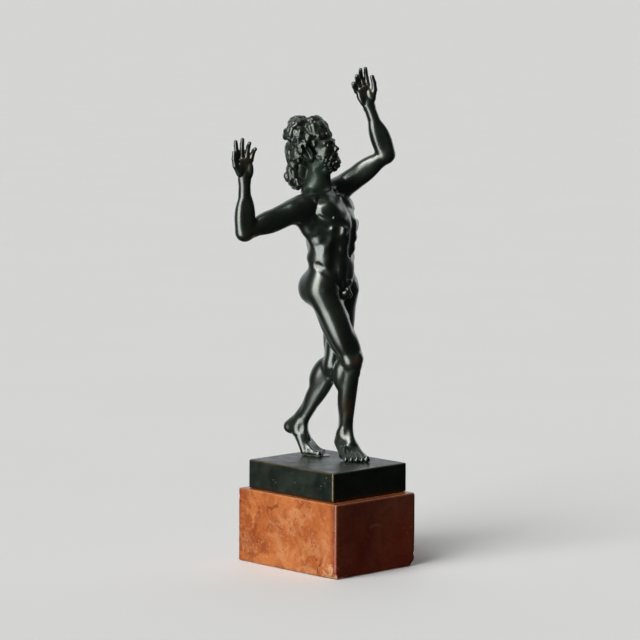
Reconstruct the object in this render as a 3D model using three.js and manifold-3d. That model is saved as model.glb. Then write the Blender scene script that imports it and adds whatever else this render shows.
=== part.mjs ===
import * as THREE from "three";
import { mergeVertices } from "three/addons/utils/BufferGeometryUtils.js";
import { RoundedBoxGeometry } from "three/addons/geometries/RoundedBoxGeometry.js";
import Module from "manifold-3d";

// A small bronze faun in mid step on a bronze plinth, on a marble block.
// Millimetres, Z up. The figure's front is -Y and its left is +X.
// The origin is the centre of the block's underside.

// Marble block: size, how far its edges are worn round, its two broken lower corners
const BLOCK_X = 66;
const BLOCK_Y = 83;
const BLOCK_Z = 44;
const BLOCK_EDGE = 0.7;
const CHIP_FRONT = 3.2;
const CHIP_SIDE = 7.5;

// Bronze plinth: size, edge wear, and how far it sits off the block's middle
const PLINTH_X = 61;
const PLINTH_Y = 72;
const PLINTH_Z = 17.3;
const PLINTH_EDGE = 0.5;
const PLINTH_SHIFT_X = 1.2;
const PLINTH_SHIFT_Y = 0.8;

// The figure stands this far above the plinth's top
const SOLE_GAP = 0.3;
const GROUND = BLOCK_Z + PLINTH_Z + SOLE_GAP;
const BALL_HEIGHT = 2.1;

// Lengths of the figure's parts, for a standing height of eight heads
const THIGH = 46.5;
const SHANK = 50.5;
const UPPER_ARM = 38;
const FOREARM = 32;
const HAND = 25;
// The hand is laid out at this length and then grown to its own
const HAND_DRAWN = 22;
const SHOULDER_HALF = 21.5;
const HIP_HALF = 10.4;
const BALL_TO_ANKLE = 15.5;
const BALL_TO_HEEL = 20.5;

// Pose: places of the trunk, and which way each part faces.
// A turn is in degrees, from straight ahead toward the figure's left.
const HIPS = [7, 4, 164.6];
const HIPS_TURN = 10;
const HIPS_DROP_LEFT = 3;
const CHEST = [6.5, 12.5, 216.3];
const CHEST_TURN = 22;
const CHEST_RISE_LEFT = 7.5;
const RIGHT_SHOULDER_BACK = 5.5;
const LEFT_SHOULDER_BACK = 1;
const HEAD_AT = [5, 12.8, 246.2];
const HEAD_TURN = 21;
const HEAD_LIFT = 18;
const RIGHT_BALL = [13.5, -7.2];
const RIGHT_FOOT_TURN = -24;
const RIGHT_FOOT_PITCH = 21;
const RIGHT_KNEE_TURN = 10;
const LEFT_BALL = [10.4, 25.6];
const LEFT_FOOT_TURN = 16;
const LEFT_FOOT_PITCH = 41;
const LEFT_KNEE_TURN = -14;
const RIGHT_WRIST = [-50, 19, 231];
const LEFT_WRIST = [41.5, 9, 271.5];

// Fineness of the figure's faceted skin
const CELL = 0.9;
const SKIN_TRIANGLES = 8600;

const DEG = Math.PI / 180;
const vec = (x, y, z) => new THREE.Vector3(x, y, z);
const heading = (turn, rise = 0) =>
  vec(
    Math.sin(turn * DEG) * Math.cos(rise * DEG),
    -Math.cos(turn * DEG) * Math.cos(rise * DEG),
    Math.sin(rise * DEG),
  );
const mixed = (a, b, t) => a.clone().lerp(b, t);

// Frames: an origin with a side, a front and an along axis, all of unit length
function frameOf(origin, side, front, along, length = 1) {
  return { origin, side, front, along, length };
}

function place(frame, side, front, along) {
  return frame.origin
    .clone()
    .addScaledVector(frame.side, side)
    .addScaledVector(frame.front, front)
    .addScaledVector(frame.along, along);
}

// A bone from a to b, with its front toward a hint and its side away from the body's middle
function bone(a, b, hint, outward) {
  const along = b.clone().sub(a);
  const length = along.length();
  along.normalize();
  const front = hint.clone().addScaledVector(along, -hint.dot(along)).normalize();
  const side = along.clone().cross(front);
  if (side.dot(outward) < 0) side.negate();
  return frameOf(a.clone(), side, front, along, length);
}

// The middle joint of a limb of two lengths, bent toward a hint
function bend(a, c, upper, lower, hint) {
  const axis = c.clone().sub(a);
  const reach = Math.min(axis.length(), upper + lower - 0.01);
  axis.normalize();
  const along = (upper * upper - lower * lower + reach * reach) / (2 * reach);
  const out = Math.sqrt(Math.max(upper * upper - along * along, 0));
  const side = hint.clone().addScaledVector(axis, -hint.dot(axis)).normalize();
  return a.clone().addScaledVector(axis, along).addScaledVector(side, out);
}

// Soft shapes: each gives its distance from a point and the box it lies in
function cone(a, ra, b, rb) {
  const ab = b.clone().sub(a);
  const l2 = Math.max(ab.lengthSq(), 1e-9);
  const rr = ra - rb;
  const a2 = l2 - rr * rr;
  const box = new THREE.Box3()
    .expandByPoint(a.clone().addScalar(ra))
    .expandByPoint(a.clone().addScalar(-ra))
    .expandByPoint(b.clone().addScalar(rb))
    .expandByPoint(b.clone().addScalar(-rb));
  const distance = (x, y, z) => {
    const px = x - a.x;
    const py = y - a.y;
    const pz = z - a.z;
    const h = px * ab.x + py * ab.y + pz * ab.z;
    const qx = px * l2 - ab.x * h;
    const qy = py * l2 - ab.y * h;
    const qz = pz * l2 - ab.z * h;
    const x2 = qx * qx + qy * qy + qz * qz;
    const g = h - l2;
    const y2 = h * h * l2;
    const z2 = g * g * l2;
    const k = Math.sign(rr) * rr * rr * x2;
    if (Math.sign(g) * a2 * z2 > k) return Math.sqrt(x2 + z2) / l2 - rb;
    if (Math.sign(h) * a2 * y2 < k) return Math.sqrt(x2 + y2) / l2 - ra;
    return (Math.sqrt((x2 * a2) / l2) + h * rr) / l2 - ra;
  };
  return { distance, box };
}

function egg(frame, at, radii) {
  const c = place(frame, ...at);
  const { side: s, front: f, along: u } = frame;
  const reach = Math.max(...radii);
  const box = new THREE.Box3().setFromCenterAndSize(c, vec(1, 1, 1).multiplyScalar(2 * reach));
  const [rs, rf, ru] = radii;
  const distance = (x, y, z) => {
    const px = x - c.x;
    const py = y - c.y;
    const pz = z - c.z;
    const a = (px * s.x + py * s.y + pz * s.z) / rs;
    const b = (px * f.x + py * f.y + pz * f.z) / rf;
    const d = (px * u.x + py * u.y + pz * u.z) / ru;
    const k0 = Math.sqrt(a * a + b * b + d * d);
    const k1 = Math.sqrt((a * a) / (rs * rs) + (b * b) / (rf * rf) + (d * d) / (ru * ru));
    return k1 < 1e-9 ? -Math.min(rs, rf, ru) : (k0 * (k0 - 1)) / k1;
  };
  return { distance, box };
}

// A shape drawn larger by a factor round a centre
function larger(shape, centre, by) {
  const back = (v, c) => (v - c) / by + c;
  const distance = (x, y, z) =>
    by * shape.distance(back(x, centre.x), back(y, centre.y), back(z, centre.z));
  const grow = (p) => p.clone().sub(centre).multiplyScalar(by).add(centre);
  return { distance, box: new THREE.Box3(grow(shape.box.min), grow(shape.box.max)) };
}

const joinSoft = (a, b, k) => {
  const h = Math.max(k - Math.abs(a - b), 0);
  return Math.min(a, b) - (h * h) / (4 * k);
};

// A mass is a list of shapes joined softly in order; a cut takes a shape away softly.
// It joins the body softly near its root and stays separate from its neighbours elsewhere.
function newMass(root, reach, blend) {
  const steps = [];
  return {
    steps,
    root,
    reach,
    blend,
    add: (shape, k = 1.5) => steps.push({ ...shape, k, cut: false }),
    cut: (shape, k = 1) => steps.push({ ...shape, k, cut: true }),
  };
}

// The spot on a mass's skin met on the way inward from a start outside it
function land(mass, start, inward) {
  const way = inward.clone().normalize();
  const spot = start.clone();
  for (let i = 0; i < 12; i++) {
    let skin = 20;
    for (const s of mass.steps) {
      const v = s.distance(spot.x, spot.y, spot.z);
      skin = s.cut ? -joinSoft(-skin, v, s.k) : joinSoft(skin, v, s.k);
    }
    spot.addScaledVector(way, 0.9 * Math.max(skin, -1));
  }
  return spot;
}

const moved = (p, way, by) => p.clone().addScaledVector(way, by);

// Trunk: pelvis, waist, rib cage, chest, back and neck
function trunk(pelvis, thorax, neck) {
  const m = newMass(vec(0, 0, 0), 1e4, 1.2);
  const belly = frameOf(
    mixed(pelvis.origin, thorax.origin, 0.5),
    mixed(pelvis.side, thorax.side, 0.5).normalize(),
    mixed(pelvis.front, thorax.front, 0.5).normalize(),
    mixed(pelvis.along, thorax.along, 0.5).normalize(),
  );
  m.add(egg(pelvis, [0, -0.3, 5], [14.6, 11.6, 10.5]), 3);
  m.add(egg(pelvis, [0, 1.2, 14], [14.2, 12.2, 12]), 4);
  m.add(egg(belly, [0, 1.6, 0], [14.6, 13.2, 14]), 4);
  m.add(egg(thorax, [0, 0.6, -17], [17.4, 14.6, 18]), 4);
  m.add(egg(thorax, [0, -1.5, -5.5], [18.5, 9.2, 9]), 4);
  m.add(egg(thorax, [0, 4, -4.6], [14, 8, 7.2]), 4);
  m.add(egg(thorax, [0, -6, 0.5], [10, 5.6, 9.5]), 4);
  for (const s of [-1, 1]) {
    // chest muscle and its end toward the arm
    m.add(egg(thorax, [s * 13.6, 5, -7.4], [5.6, 5.4, 6.4]), 2);
    m.add(egg(thorax, [s * 8.6, 7.8, -8.6], [8.7, 6.1, 8.2]), 1.6);
    m.add(egg(thorax, [s * 7.4, 8.2, -18], [7.8, 5.6, 6.5]), 3);
    // front of the shoulder
    m.add(egg(thorax, [s * 18.6, -0.6 + s * 1.6, 0.2], [5.6, 6.4, 6.6]), 1.5);
    // shoulder blade, broad muscle of the back and its edge under the armpit
    m.add(egg(thorax, [s * 10, -8.8, -9], [7.2, 3.8, 8.8]), 3);
    m.add(cone(place(thorax, s * 11.5, -3.4, -28), 4.6, place(thorax, s * 15.6, -4, -11), 6.4), 3.5);
    m.add(cone(place(thorax, s * 16.4, -4.8, -13), 4.8, place(thorax, s * 20.6, -5, -4.5), 4.8), 3);
    // two cords beside the spine
    m.add(cone(place(pelvis, s * 3.6, -8, 6), 3.4, place(thorax, s * 3.4, -9.4, -20), 3.2), 2.5);
    // flank above the hip bone, the muscle below it, and the seat
    m.add(egg(pelvis, [s * 11.2, 0.6, 17.6], [4.9, 8.8, 6]), 4);
    m.add(egg(pelvis, [s * 10, -1.4, 5], [6, 8.8, 8.4]), 4.5);
    m.add(egg(pelvis, [s * 8.2, -8, 0], [8.7, 8.8, 10.2]), 3);
    // slope from neck to shoulder, and collar bone
    m.add(cone(place(neck, s * 2.6, -2.8, 5), 4.8, place(thorax, s * 15, -2.4, 2), 4.6), 3.5);
    m.add(cone(place(thorax, s * 2.6, 7.4, 0.8), 1.2, place(thorax, s * 17, 2.2, 3.6), 1.3), 3.2);
    // cord of the neck from behind the ear to the breast bone
    m.add(cone(place(thorax, s * 2, 7.2, 1), 1.5, place(neck, s * 5.2, 0.2, 18), 2.4), 3.5);
  }
  // pubic mound and neck
  m.add(egg(pelvis, [0, 7.8, 0.5], [5.4, 3.4, 3.8]), 2);
  m.add(cone(place(neck, 0, -0.6, 0), 7.4, place(neck, 0, 0.2, 12), 6), 3);
  m.add(cone(place(neck, 0, 0.2, 12), 6, place(neck, 0, 1.5, 22), 6), 3);
  m.add(egg(neck, [0, 6, 10.5], [1.5, 1.6, 2.4]), 1.4);

  // finer shapes laid on the skin: aside says how far the look at it turns sideways
  const front = (f, side, up, aside = 0) => {
    const out = moved(f.front, f.side, aside);
    return land(m, place(f, side, 0, up).addScaledVector(out, 30), out.clone().negate());
  };
  const laid = [];
  for (const s of [-1, 1]) {
    // pads of the belly, in three rows, and the long pad under the navel
    for (let i = 0; i < 3; i++) {
      const at = moved(front(belly, s * 3.5, 7.2 - 6.1 * i), belly.front, -1.4);
      laid.push([egg({ ...belly, origin: at }, [0, 0, 0], [4, 2.1, 3.4]), 2]);
    }
    const low = moved(front(pelvis, s * 3.2, 9.5), pelvis.front, -1.9);
    laid.push([egg({ ...pelvis, origin: low }, [0, 0, 0], [4.4, 2.4, 7.6]), 1.6]);
    // rib arch
    const arch = [
      moved(front(thorax, s * 2, -17.5), thorax.front, -1.8),
      moved(front(thorax, s * 7.5, -20.5, 0.2 * s), thorax.front, -2),
      moved(front(thorax, s * 12.5, -27.5, 0.7 * s), thorax.front, -1.9),
    ];
    laid.push([cone(arch[0], 1.8, arch[1], 2.2), 3.2], [cone(arch[1], 2.2, arch[2], 2.2), 3.2]);
    // slips of the rib muscle
    const inward = moved(thorax.front, thorax.side, 2 * s).normalize().negate();
    for (let i = 0; i < 3; i++) {
      const a = moved(front(thorax, s * 15.4, -10.5 - 5.6 * i, 2.6 * s), inward, 2.6);
      const b = moved(front(thorax, s * 10.4, -17 - 5.4 * i, 0.6 * s), inward, 1.9);
      laid.push([cone(a, 2.8, b, 1.9), 2.6]);
    }
  }
  for (const [shape, k] of laid) m.add(shape, k);

  // grooves: a round bar drawn along the skin through each line of spots
  const grooves = [];
  const groove = (line, radius, k) => {
    for (let i = 1; i < line.length; i++) grooves.push([cone(line[i - 1], radius, line[i], radius), k]);
  };
  for (const s of [-1, 1]) {
    const under = [[2.6, -15, 0], [8, -17.4, 0.1], [14, -14.6, 0.6], [17, -9, 1.4]];
    groove(under.map(([x, u, t]) => moved(front(thorax, s * x, u, t * s), thorax.front, 1.8)), 1.7, 2.2);
    const side = [
      front(belly, s * 7.6, 9, 0.35 * s),
      front(belly, s * 7.8, -3, 0.4 * s),
      front(pelvis, s * 7.8, 11, 0.45 * s),
    ];
    groove(side.map((p) => moved(p, belly.front, 2.4)), 2.4, 2.6);
    const hip = [[14.5, 12.4, 1.6], [11.4, 8.4, 0.7], [8.6, 3.6, 0.4], [5, 0, 0.1]];
    const off = moved(pelvis.front, pelvis.side, 0.6 * s).normalize();
    groove(hip.map(([x, u, t]) => moved(front(pelvis, s * x, u, t * s), off, 2.1)), 1.8, 2.4);
  }
  const middle = [front(thorax, 0, -4), front(thorax, 0, -15), front(belly, 0, 3), front(belly, 0, -8)];
  groove(middle.map((p) => moved(p, thorax.front, 2.2)), 2.2, 2.4);
  const spine = [[pelvis, 9], [belly, -4], [thorax, -18], [thorax, -8]];
  const onSpine = ([f, up]) => moved(land(m, place(f, 0, -30, up), f.front), thorax.front, -1.5);
  groove(spine.map(onSpine), 2.2, 3);
  for (const [shape, k] of grooves) m.cut(shape, k);
  m.cut(cone(place(pelvis, 0, -15.8, 2.5), 1.4, place(pelvis, 0, -14.4, -9), 1.5), 1.6);
  m.cut(egg({ ...belly, origin: front(belly, 0, -9.6) }, [0, 0, 0], [0.9, 1.2, 1.2]), 0.8);
  m.cut(egg(thorax, [0, 9.6, 2.6], [1.6, 1.6, 1.6]), 1.6);
  // sex
  for (const s of [-1, 1]) m.add(egg(pelvis, [1.35 * s, 11, -4.6 - 0.2 * s], [1.75, 2, 2.5]), 0.5);
  m.add(cone(place(pelvis, 0, 11.6, -1.2), 1.25, place(pelvis, 0.2, 13.2, -5), 1.1), 0.5);
  return m;
}

// Head: skull, face, ears, horns, locks of hair and a short curled beard
function head(h) {
  const m = newMass(place(h, 0, -2, -8), 9, 2.5);
  const mirror = [-1, 1];
  m.add(egg(h, [0, -2, 3.6], [8.4, 10.2, 8.9]), 2);
  m.add(egg(h, [0, 3.2, -3.2], [6.5, 6.2, 8.6]), 3);
  m.add(egg(h, [0, 4.2, -9], [4, 4.4, 3.6]), 2);
  m.add(egg(h, [0, 6.2, 2.6], [5.6, 2.6, 1.6]), 2);
  for (const s of mirror) {
    m.add(egg(h, [4.2 * s, 5.7, -2.3], [2.2, 2.1, 1.7]), 1.6);
    m.add(egg(h, [5.2 * s, 1.5, -7], [2.2, 4.6, 3.6]), 2);
    m.cut(egg(h, [3.15 * s, 9.7, 0.1], [1.9, 1.9, 1.2]), 1.3);
    m.add(egg(h, [3.1 * s, 6.75, 0.1], [1.6, 1.55, 1.35]), 0.3);
    m.add(cone(place(h, s, 8.9, 1.9), 0.7, place(h, 5.2 * s, 7.2, 2), 0.7), 0.9);
    m.add(egg(h, [1.1 * s, 9.6, -3.7], [0.9, 1.1, 0.8]), 0.5);
  }
  m.add(cone(place(h, 0, 7.9, 1.6), 1, place(h, 0, 10.2, -2.9), 1.35), 1.2);
  m.add(egg(h, [0, 10.9, -3.3], [1.05, 1.1, 0.95]), 0.6);
  m.add(egg(h, [0, 9, -6.7], [2.1, 1, 0.9]), 0.4);

  // mass of the hair: cap, full back of the head, the part over the nape, and a roll on the crown
  const down = vec(0, 0, -1);
  const back = h.front.clone().negate();
  back.addScaledVector(down, -back.dot(down)).normalize();
  m.add(egg(h, [0, -3.8, 5], [8.6, 9.8, 9.2]), 1);
  m.add(egg(h, [0, -10.9, 2.2], [8.2, 7.8, 8.7]), 2);
  const nape = place(h, 0, -12.6, -3);
  const belowNape = moved(moved(nape, down, 8), back, 1.7);
  const lowest = moved(moved(nape, down, 13.5), back, 1.6);
  m.add(cone(nape, 6.5, belowNape, 5.6), 2);
  m.add(cone(belowNape, 5.6, lowest, 3.8), 2);
  const onRoll = (turn) => {
    const c = turn * DEG;
    return place(h, 8.2 * Math.sin(c), -8.6 - 1.2 * Math.cos(c), 5 + 12.8 * Math.cos(c));
  };
  for (let i = 0; i < 6; i++) m.add(cone(onRoll(-64 + 21.33 * i), 3.6, onRoll(-42.67 + 21.33 * i), 3.6), 1.2);

  // locks lie on that mass: places are given by degrees round from the face and degrees up
  const root = place(h, 0, -3, 1.5);
  const scalp = (around, high, lift) => {
    const [a, b] = [around * DEG, high * DEG];
    const way = vec(0, 0, 0)
      .addScaledVector(h.side, Math.sin(a) * Math.cos(b))
      .addScaledVector(h.front, Math.cos(a) * Math.cos(b))
      .addScaledVector(h.along, Math.sin(b));
    return moved(land(m, moved(root, way, 30), way.clone().negate()), way, lift);
  };
  const locks = [];
  const lock = (a, b, size) => locks.push(cone(a, size, b, size * 0.8));
  // tufts over the brow
  for (let i = 0; i < 7; i++) {
    const a = -54 + 18 * i;
    const hand = i % 2 ? 1 : -1;
    lock(scalp(a, 35, 0.4), scalp(a * 0.9 + 4 * hand, 58, 3.2 + 0.5 * hand), 1.9);
  }
  // locks over the crown, from the brow to the back
  for (let i = 0; i < 9; i++) {
    const a = -80 + 20 * i;
    const turn = (180 - Math.abs(a)) * (a >= 0 ? 1 : -1);
    const w = i % 2 ? 6 : -6;
    const over = [[a * 0.9, 56, 0.3], [a + w, 76, 0.4], [turn + w, 68, 0.4], [turn - w, 48, 0.3]];
    const spots = over.map((at) => scalp(...at));
    for (let j = 0; j < 3; j++) lock(spots[j], spots[j + 1], 1.7);
  }
  // rows of locks round the sides and the back
  const rows = [[86, 6, 54, 26], [122, 5, 32, 28], [124, 4, 9, 26], [130, 4, -12, 22]];
  rows.forEach(([first, count, high, drop], row) => {
    for (let i = 0; i < count; i++) {
      const a = first + ((360 - 2 * first) * i) / (count - 1);
      const w = (i + row) % 2 ? 8 : -8;
      lock(scalp(a + w, high, 0.3), scalp(a - 0.8 * w, high - 0.65 * drop, 0.9), 2.3);
    }
  });
  // long locks over the nape
  for (let i = 0; i < 5; i++) {
    const x = -1 + 0.5 * i;
    const aim = moved(back, h.side, 1.15 * x);
    const inward = aim.clone().negate();
    const spots = [0.15, 0.5, 0.85].map((t) => land(m, moved(mixed(nape, lowest, t), aim, 20), inward));
    lock(spots[0], spots[1], 1.8);
    lock(spots[1], spots[2], 1.6);
  }
  for (const shape of locks) m.add(shape, 0.7);
  for (const s of mirror) {
    // blunt horn among the tufts
    m.add(cone(place(h, 3.4 * s, 5, 10), 1.6, place(h, 4.3 * s, 5.8, 14.4), 0.9), 0.6);
    // long pointed ear
    const low = place(h, 8.4 * s, -3.4, -7);
    const tip = place(h, 13.6 * s, -6, 8.2);
    const up = tip.clone().sub(low).normalize();
    const face = vec(0, 0, 0).addScaledVector(h.side, s).addScaledVector(h.front, 0.12);
    face.addScaledVector(up, -face.dot(up)).normalize();
    const leaf = frameOf(mixed(low, tip, 0.5), face, up.clone().cross(face), up);
    m.add(egg(leaf, [0, 0, -1.4], [1.7, 3.4, 6.7]), 0.6);
    m.add(cone(place(leaf, 0, 0, 1.5), 1.7, tip, 0.6), 0.6);
  }
  // beard: the mass of it, rows of curls round the jaw, and a moustache
  m.add(egg(h, [0, 4, -10.2], [4.8, 5, 4.2]), 1.5);
  for (const s of mirror) m.add(cone(place(h, 6.4 * s, 0.6, -5), 1.6, place(h, 4 * s, 4.6, -10), 2.4), 1.5);
  const chin = place(h, 0, 0.5, -7);
  const curls = [];
  for (const [high, count, wide] of [[2, 2, 76], [-12, 2, 66], [-25, 6, 64], [-43, 6, 60], [-62, 4, 52]])
    for (let i = 0; i < count; i++) {
      const a = (-wide + (2 * wide * i) / (count - 1)) * DEG;
      const b = high * DEG;
      const way = vec(0, 0, 0)
        .addScaledVector(h.side, Math.sin(a) * Math.cos(b))
        .addScaledVector(h.front, Math.cos(a) * Math.cos(b))
        .addScaledVector(h.along, Math.sin(b));
      const at = land(m, moved(chin, way, 25), way.clone().negate());
      curls.push(egg({ ...h, origin: moved(at, way, 0.1) }, [0, 0, 0], [1.6, 1.3, 1.6]));
    }
  for (const shape of curls) m.add(shape, 0.6);
  for (const s of mirror)
    m.add(cone(place(h, 0.4 * s, 9.9, -5.3), 0.8, place(h, 3.8 * s, 8.1, -7.6), 0.8), 0.4);
  return m;
}

// Leg: thigh, knee, shank and foot on its ball
function leg(hip, knee, ankle, foot, facing, outward) {
  const m = newMass(hip, 15, 4);
  const t = bone(hip, knee, facing, outward);
  const s = bone(knee, ankle, facing, outward);
  const at = (b, share, side, front) => [side, front, share * b.length];
  m.add(cone(place(t, 1, 0, 1), 9.2, place(t, 0, 0, t.length), 5.8), 3);
  m.add(egg(t, at(t, 0.42, 0.8, 3.6), [5.8, 5.2, 19.5]), 2.2);
  m.add(egg(t, at(t, 0.5, 4.4, 0.8), [4.8, 6, 20]), 2);
  m.add(egg(t, at(t, 0.78, -3.1, 2.4), [3.9, 4.4, 10.5]), 2.6);
  m.add(egg(t, at(t, 0.26, -3.8, -1.2), [5.4, 7, 15.5]), 3);
  m.add(egg(t, at(t, 0.5, 2.8, -4.4), [4.2, 4.7, 20.5]), 1.6);
  m.add(egg(t, at(t, 0.48, -2.5, -4.4), [4.2, 4.7, 19.5]), 1.6);
  m.add(egg(t, at(t, 0.06, 1.2, 0), [6.6, 8.2, 12]), 4);
  // the long strap muscle that crosses the thigh
  m.add(cone(place(t, ...at(t, 0.04, 5.4, 6.2)), 1.5, place(t, ...at(t, 0.45, -3.6, 5.6)), 1.3), 2.2);
  // knee
  m.add(egg(s, at(s, -0.03, 0, 4.4), [3.3, 2.5, 4]), 2.2);
  m.add(egg(s, [3.2, 0, 0], [3.4, 4.8, 4.8]), 2.4);
  m.add(egg(s, [-3.3, 0, 0], [3.4, 4.8, 5]), 2.4);
  m.add(cone(place(s, 0, 4.6, 3), 1.7, place(s, 0, 4, 8), 1.9), 2);
  for (const side of [-1, 1]) {
    m.add(egg(s, [2.1 * side, 3.8, 3.8], [1.6, 1.5, 2.2]), 1.8);
    // cords behind the knee
    m.add(cone(place(t, ...at(t, 0.8, 3.6 * side, -3.4)), 1.2, place(s, 3.8 * side, -3, 4), 1.1), 1.4);
  }
  // shank and calf
  m.add(cone(place(s, 0, 0, 2), 4.9, place(s, 0, 0.2, s.length), 3.6), 2.5);
  m.add(egg(s, at(s, 0.23, -2.6, -4.9), [4.8, 5.8, 11.5]), 1.8);
  m.add(egg(s, at(s, 0.2, 2.9, -4.5), [4.5, 5.4, 10.8]), 1.8);
  m.add(egg(s, at(s, 0.47, 0, -2.2), [5.3, 4.3, 14.5]), 2.2);
  m.add(egg(s, at(s, 0.32, 1.8, 1.3), [3, 3.2, 15.5]), 1.8);
  m.add(egg(s, at(s, 0.36, 3.2, -0.4), [2.4, 2.9, 14]), 1.6);
  m.add(cone(place(s, -1, 3.6, 8), 1.4, place(s, -0.6, 2.6, 40), 1.3), 1.8);
  // foot: heel cord, heel, ankle bones, instep
  const { ball, along, over, level, across } = foot;
  const inFoot = (side, front, up) =>
    ball
      .clone()
      .addScaledVector(across, side)
      .addScaledVector(along, front)
      .addScaledVector(over, up);
  const heel = inFoot(0, -BALL_TO_HEEL + 1.2, 1.6);
  const high = inFoot(0, -BALL_TO_HEEL + 1, 5.2);
  m.add(cone(place(s, ...at(s, 0.6, 0, -3.2)), 2.2, high, 2.5), 2.4);
  m.add(cone(high, 2.8, heel, 3.5), 2.4);
  m.add(cone(heel, 3.5, inFoot(0, -BALL_TO_HEEL + 6, 3.5), 3.9), 2.4);
  m.add(egg(s, [2.6, -0.3, s.length - 0.6], [1.9, 3.2, 4.2]), 3.4);
  m.add(egg(s, [-2.5, 0.4, s.length - 1.6], [1.9, 3.2, 4.2]), 3.4);
  m.add(cone(ankle, 4.3, inFoot(-1, -7, 3.9), 3.8), 2.4);
  m.add(cone(inFoot(3, -15, 1.6), 3, inFoot(4.2, -3, 0.6), 2.5), 2);
  m.add(cone(inFoot(-2, -12, 3.8), 3.1, inFoot(-3, -2, 1), 2.9), 2);
  m.add(cone(place(s, ...at(s, 0.84, -0.6, 2.2)), 1.4, inFoot(-2.2, -7, 4.9), 1.4), 2.6);
  // five toes, each bent at its middle and flat at its tip
  for (let i = 0; i < 5; i++) {
    const side = -5.2 + 2.6 * i;
    const back = 0.36 * (i > 0 ? i - 1 : 0) + (i ? 0 : 0.2);
    const thick = i ? 2.2 : 2.7;
    const tall = i ? 1.5 : 2;
    const root = inFoot(side * 0.5 - 0.6, -9, 3.4 - 0.35 * i);
    const knuckle = inFoot(side, -back * 1.6, 0.2);
    m.add(cone(root, 2.9, knuckle, thick), 1.1);
    const far = moved(moved(ball, across, side * 1.14), level, (i ? 9.6 : 10.4) - 3.2 * back);
    const bent = mixed(knuckle, far, 0.5);
    bent.z = GROUND + tall + (i ? 1.2 : 0.5);
    far.z = GROUND + tall * 0.85;
    m.add(cone(knuckle, thick * 0.8, bent, tall * 0.92), 0.5);
    m.add(cone(inFoot(side * 0.7, -5, 3), 1.9, moved(bent, vec(0, 0, 1), 0.3), tall * 0.8), 1);
    m.add(cone(bent, tall * 0.92, far, tall), 0.3);
  }
  return m;
}

// Arm: shoulder cap, upper arm, forearm and an open hand
function arm(shoulder, elbow, wrist, out, palm, reach, thumbSide, curls) {
  const m = newMass(shoulder, 13, 4.5);
  const back = elbow
    .clone()
    .sub(mixed(shoulder, wrist, 0.5))
    .normalize();
  const u = bone(shoulder, elbow, back.clone().negate(), out);
  const f = bone(elbow, wrist, palm, out);
  const at = (b, share, side, front) => [side, front, share * b.length];
  m.add(egg(u, at(u, 0.1, 0, 0), [7.4, 7.4, 11]), 2.5);
  m.add(cone(place(u, 0, 0, 4), 6.2, place(u, 0, 0, u.length), 4.8), 2);
  m.add(egg(u, at(u, 0.55, 0, 2.6), [4.5, 4.1, 12]), 1.5);
  m.add(egg(u, at(u, 0.46, 1.6, -2.9), [3.8, 3.9, 12.5]), 1.4);
  m.add(egg(u, at(u, 0.52, -1.8, -2.9), [3.6, 3.8, 12.5]), 1.4);
  m.add(egg(u, at(u, 0.3, 0, 0), [5.2, 6.6, 9]), 1.6);
  // elbow and forearm
  m.add(egg(f, [0, 0, 0], [4.7, 4.3, 4.5]), 1.8);
  m.add(cone(moved(elbow, f.along, -0.5), 2.6, moved(moved(elbow, back, 2.2), f.along, -0.2), 1.9), 1);
  m.add(cone(elbow, 4.7, place(f, 0, 0, f.length), 3.3), 2);
  m.add(egg(f, at(f, 0.26, 2.3, 0.9), [4, 4.2, 11.5]), 1.8);
  m.add(egg(f, at(f, 0.3, -2.1, 0.4), [4.1, 4.3, 12]), 1.8);
  m.add(egg(f, at(f, 0.34, 0.2, -2), [3.2, 2.6, 12.5]), 1.4);
  // hand: across points to the thumb, face out of the palm
  const along = reach.clone().normalize();
  const face = palm.clone().addScaledVector(along, -palm.dot(along)).normalize();
  const across = along.clone().cross(face).multiplyScalar(thumbSide);
  const h = frameOf(wrist, across, face, along);
  const add = (shape, k) => m.add(larger(shape, wrist, HAND / HAND_DRAWN), k);
  add(egg(h, [0, 0, -0.5], [3.3, 2.5, 4.4]), 1.5);
  add(egg(h, [0, -0.1, 5.2], [4.6, 1.75, 5.3]), 1.4);
  add(egg(h, [2.8, 1.2, 3.9], [2, 1.6, 3.8]), 0.8);
  add(egg(h, [-2.8, 0.9, 3.9], [1.7, 1.4, 4.2]), 0.8);
  for (let i = 0; i < 4; i++) {
    const side = 3.6 - 2.35 * i;
    const fan = 0.16 - 0.105 * i;
    const long = HAND_DRAWN * [0.42, 0.46, 0.43, 0.34][i];
    let from = place(h, side, -0.3, 9.8 - 0.5 * Math.abs(i - 1));
    for (let j = 0; j < 3; j++) {
      const dip = curls[i] * (j + 0.6);
      const step = long * [0.45, 0.3, 0.25][j];
      const to = from
        .clone()
        .addScaledVector(along, step * Math.cos(dip))
        .addScaledVector(across, step * fan)
        .addScaledVector(face, step * Math.sin(dip));
      add(cone(from, 1.38 - 0.1 * j, to, 1.28 - 0.12 * j), j ? 0.3 : 0.8);
      from = to;
    }
  }
  const thumb = [[3, 1, 2.4], [5.4, 2, 6.2], [6.3, 2.7, 9.8], [6.3, 3.2, 12.8]].map((at) => place(h, ...at));
  for (let j = 0; j < 3; j++)
    add(cone(thumb[j], 1.75 - 0.2 * j, thumb[j + 1], 1.5 - 0.17 * j), j ? 0.35 : 0.6);
  return m;
}

// A foot rests on its ball; its heel is raised by the pitch
function footFrame(ballAt, turn, pitch, thumbSide) {
  const level = heading(turn);
  const along = heading(turn, -pitch);
  const over = heading(turn, 90 - pitch);
  const across = vec(0, 0, 1).cross(level).multiplyScalar(thumbSide).normalize();
  const ball = vec(ballAt[0], ballAt[1], GROUND + BALL_HEIGHT);
  const ankle = ball.clone().addScaledVector(along, -BALL_TO_ANKLE).addScaledVector(over, 6.4);
  return { ball, along, over, level, across, ankle };
}

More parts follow.
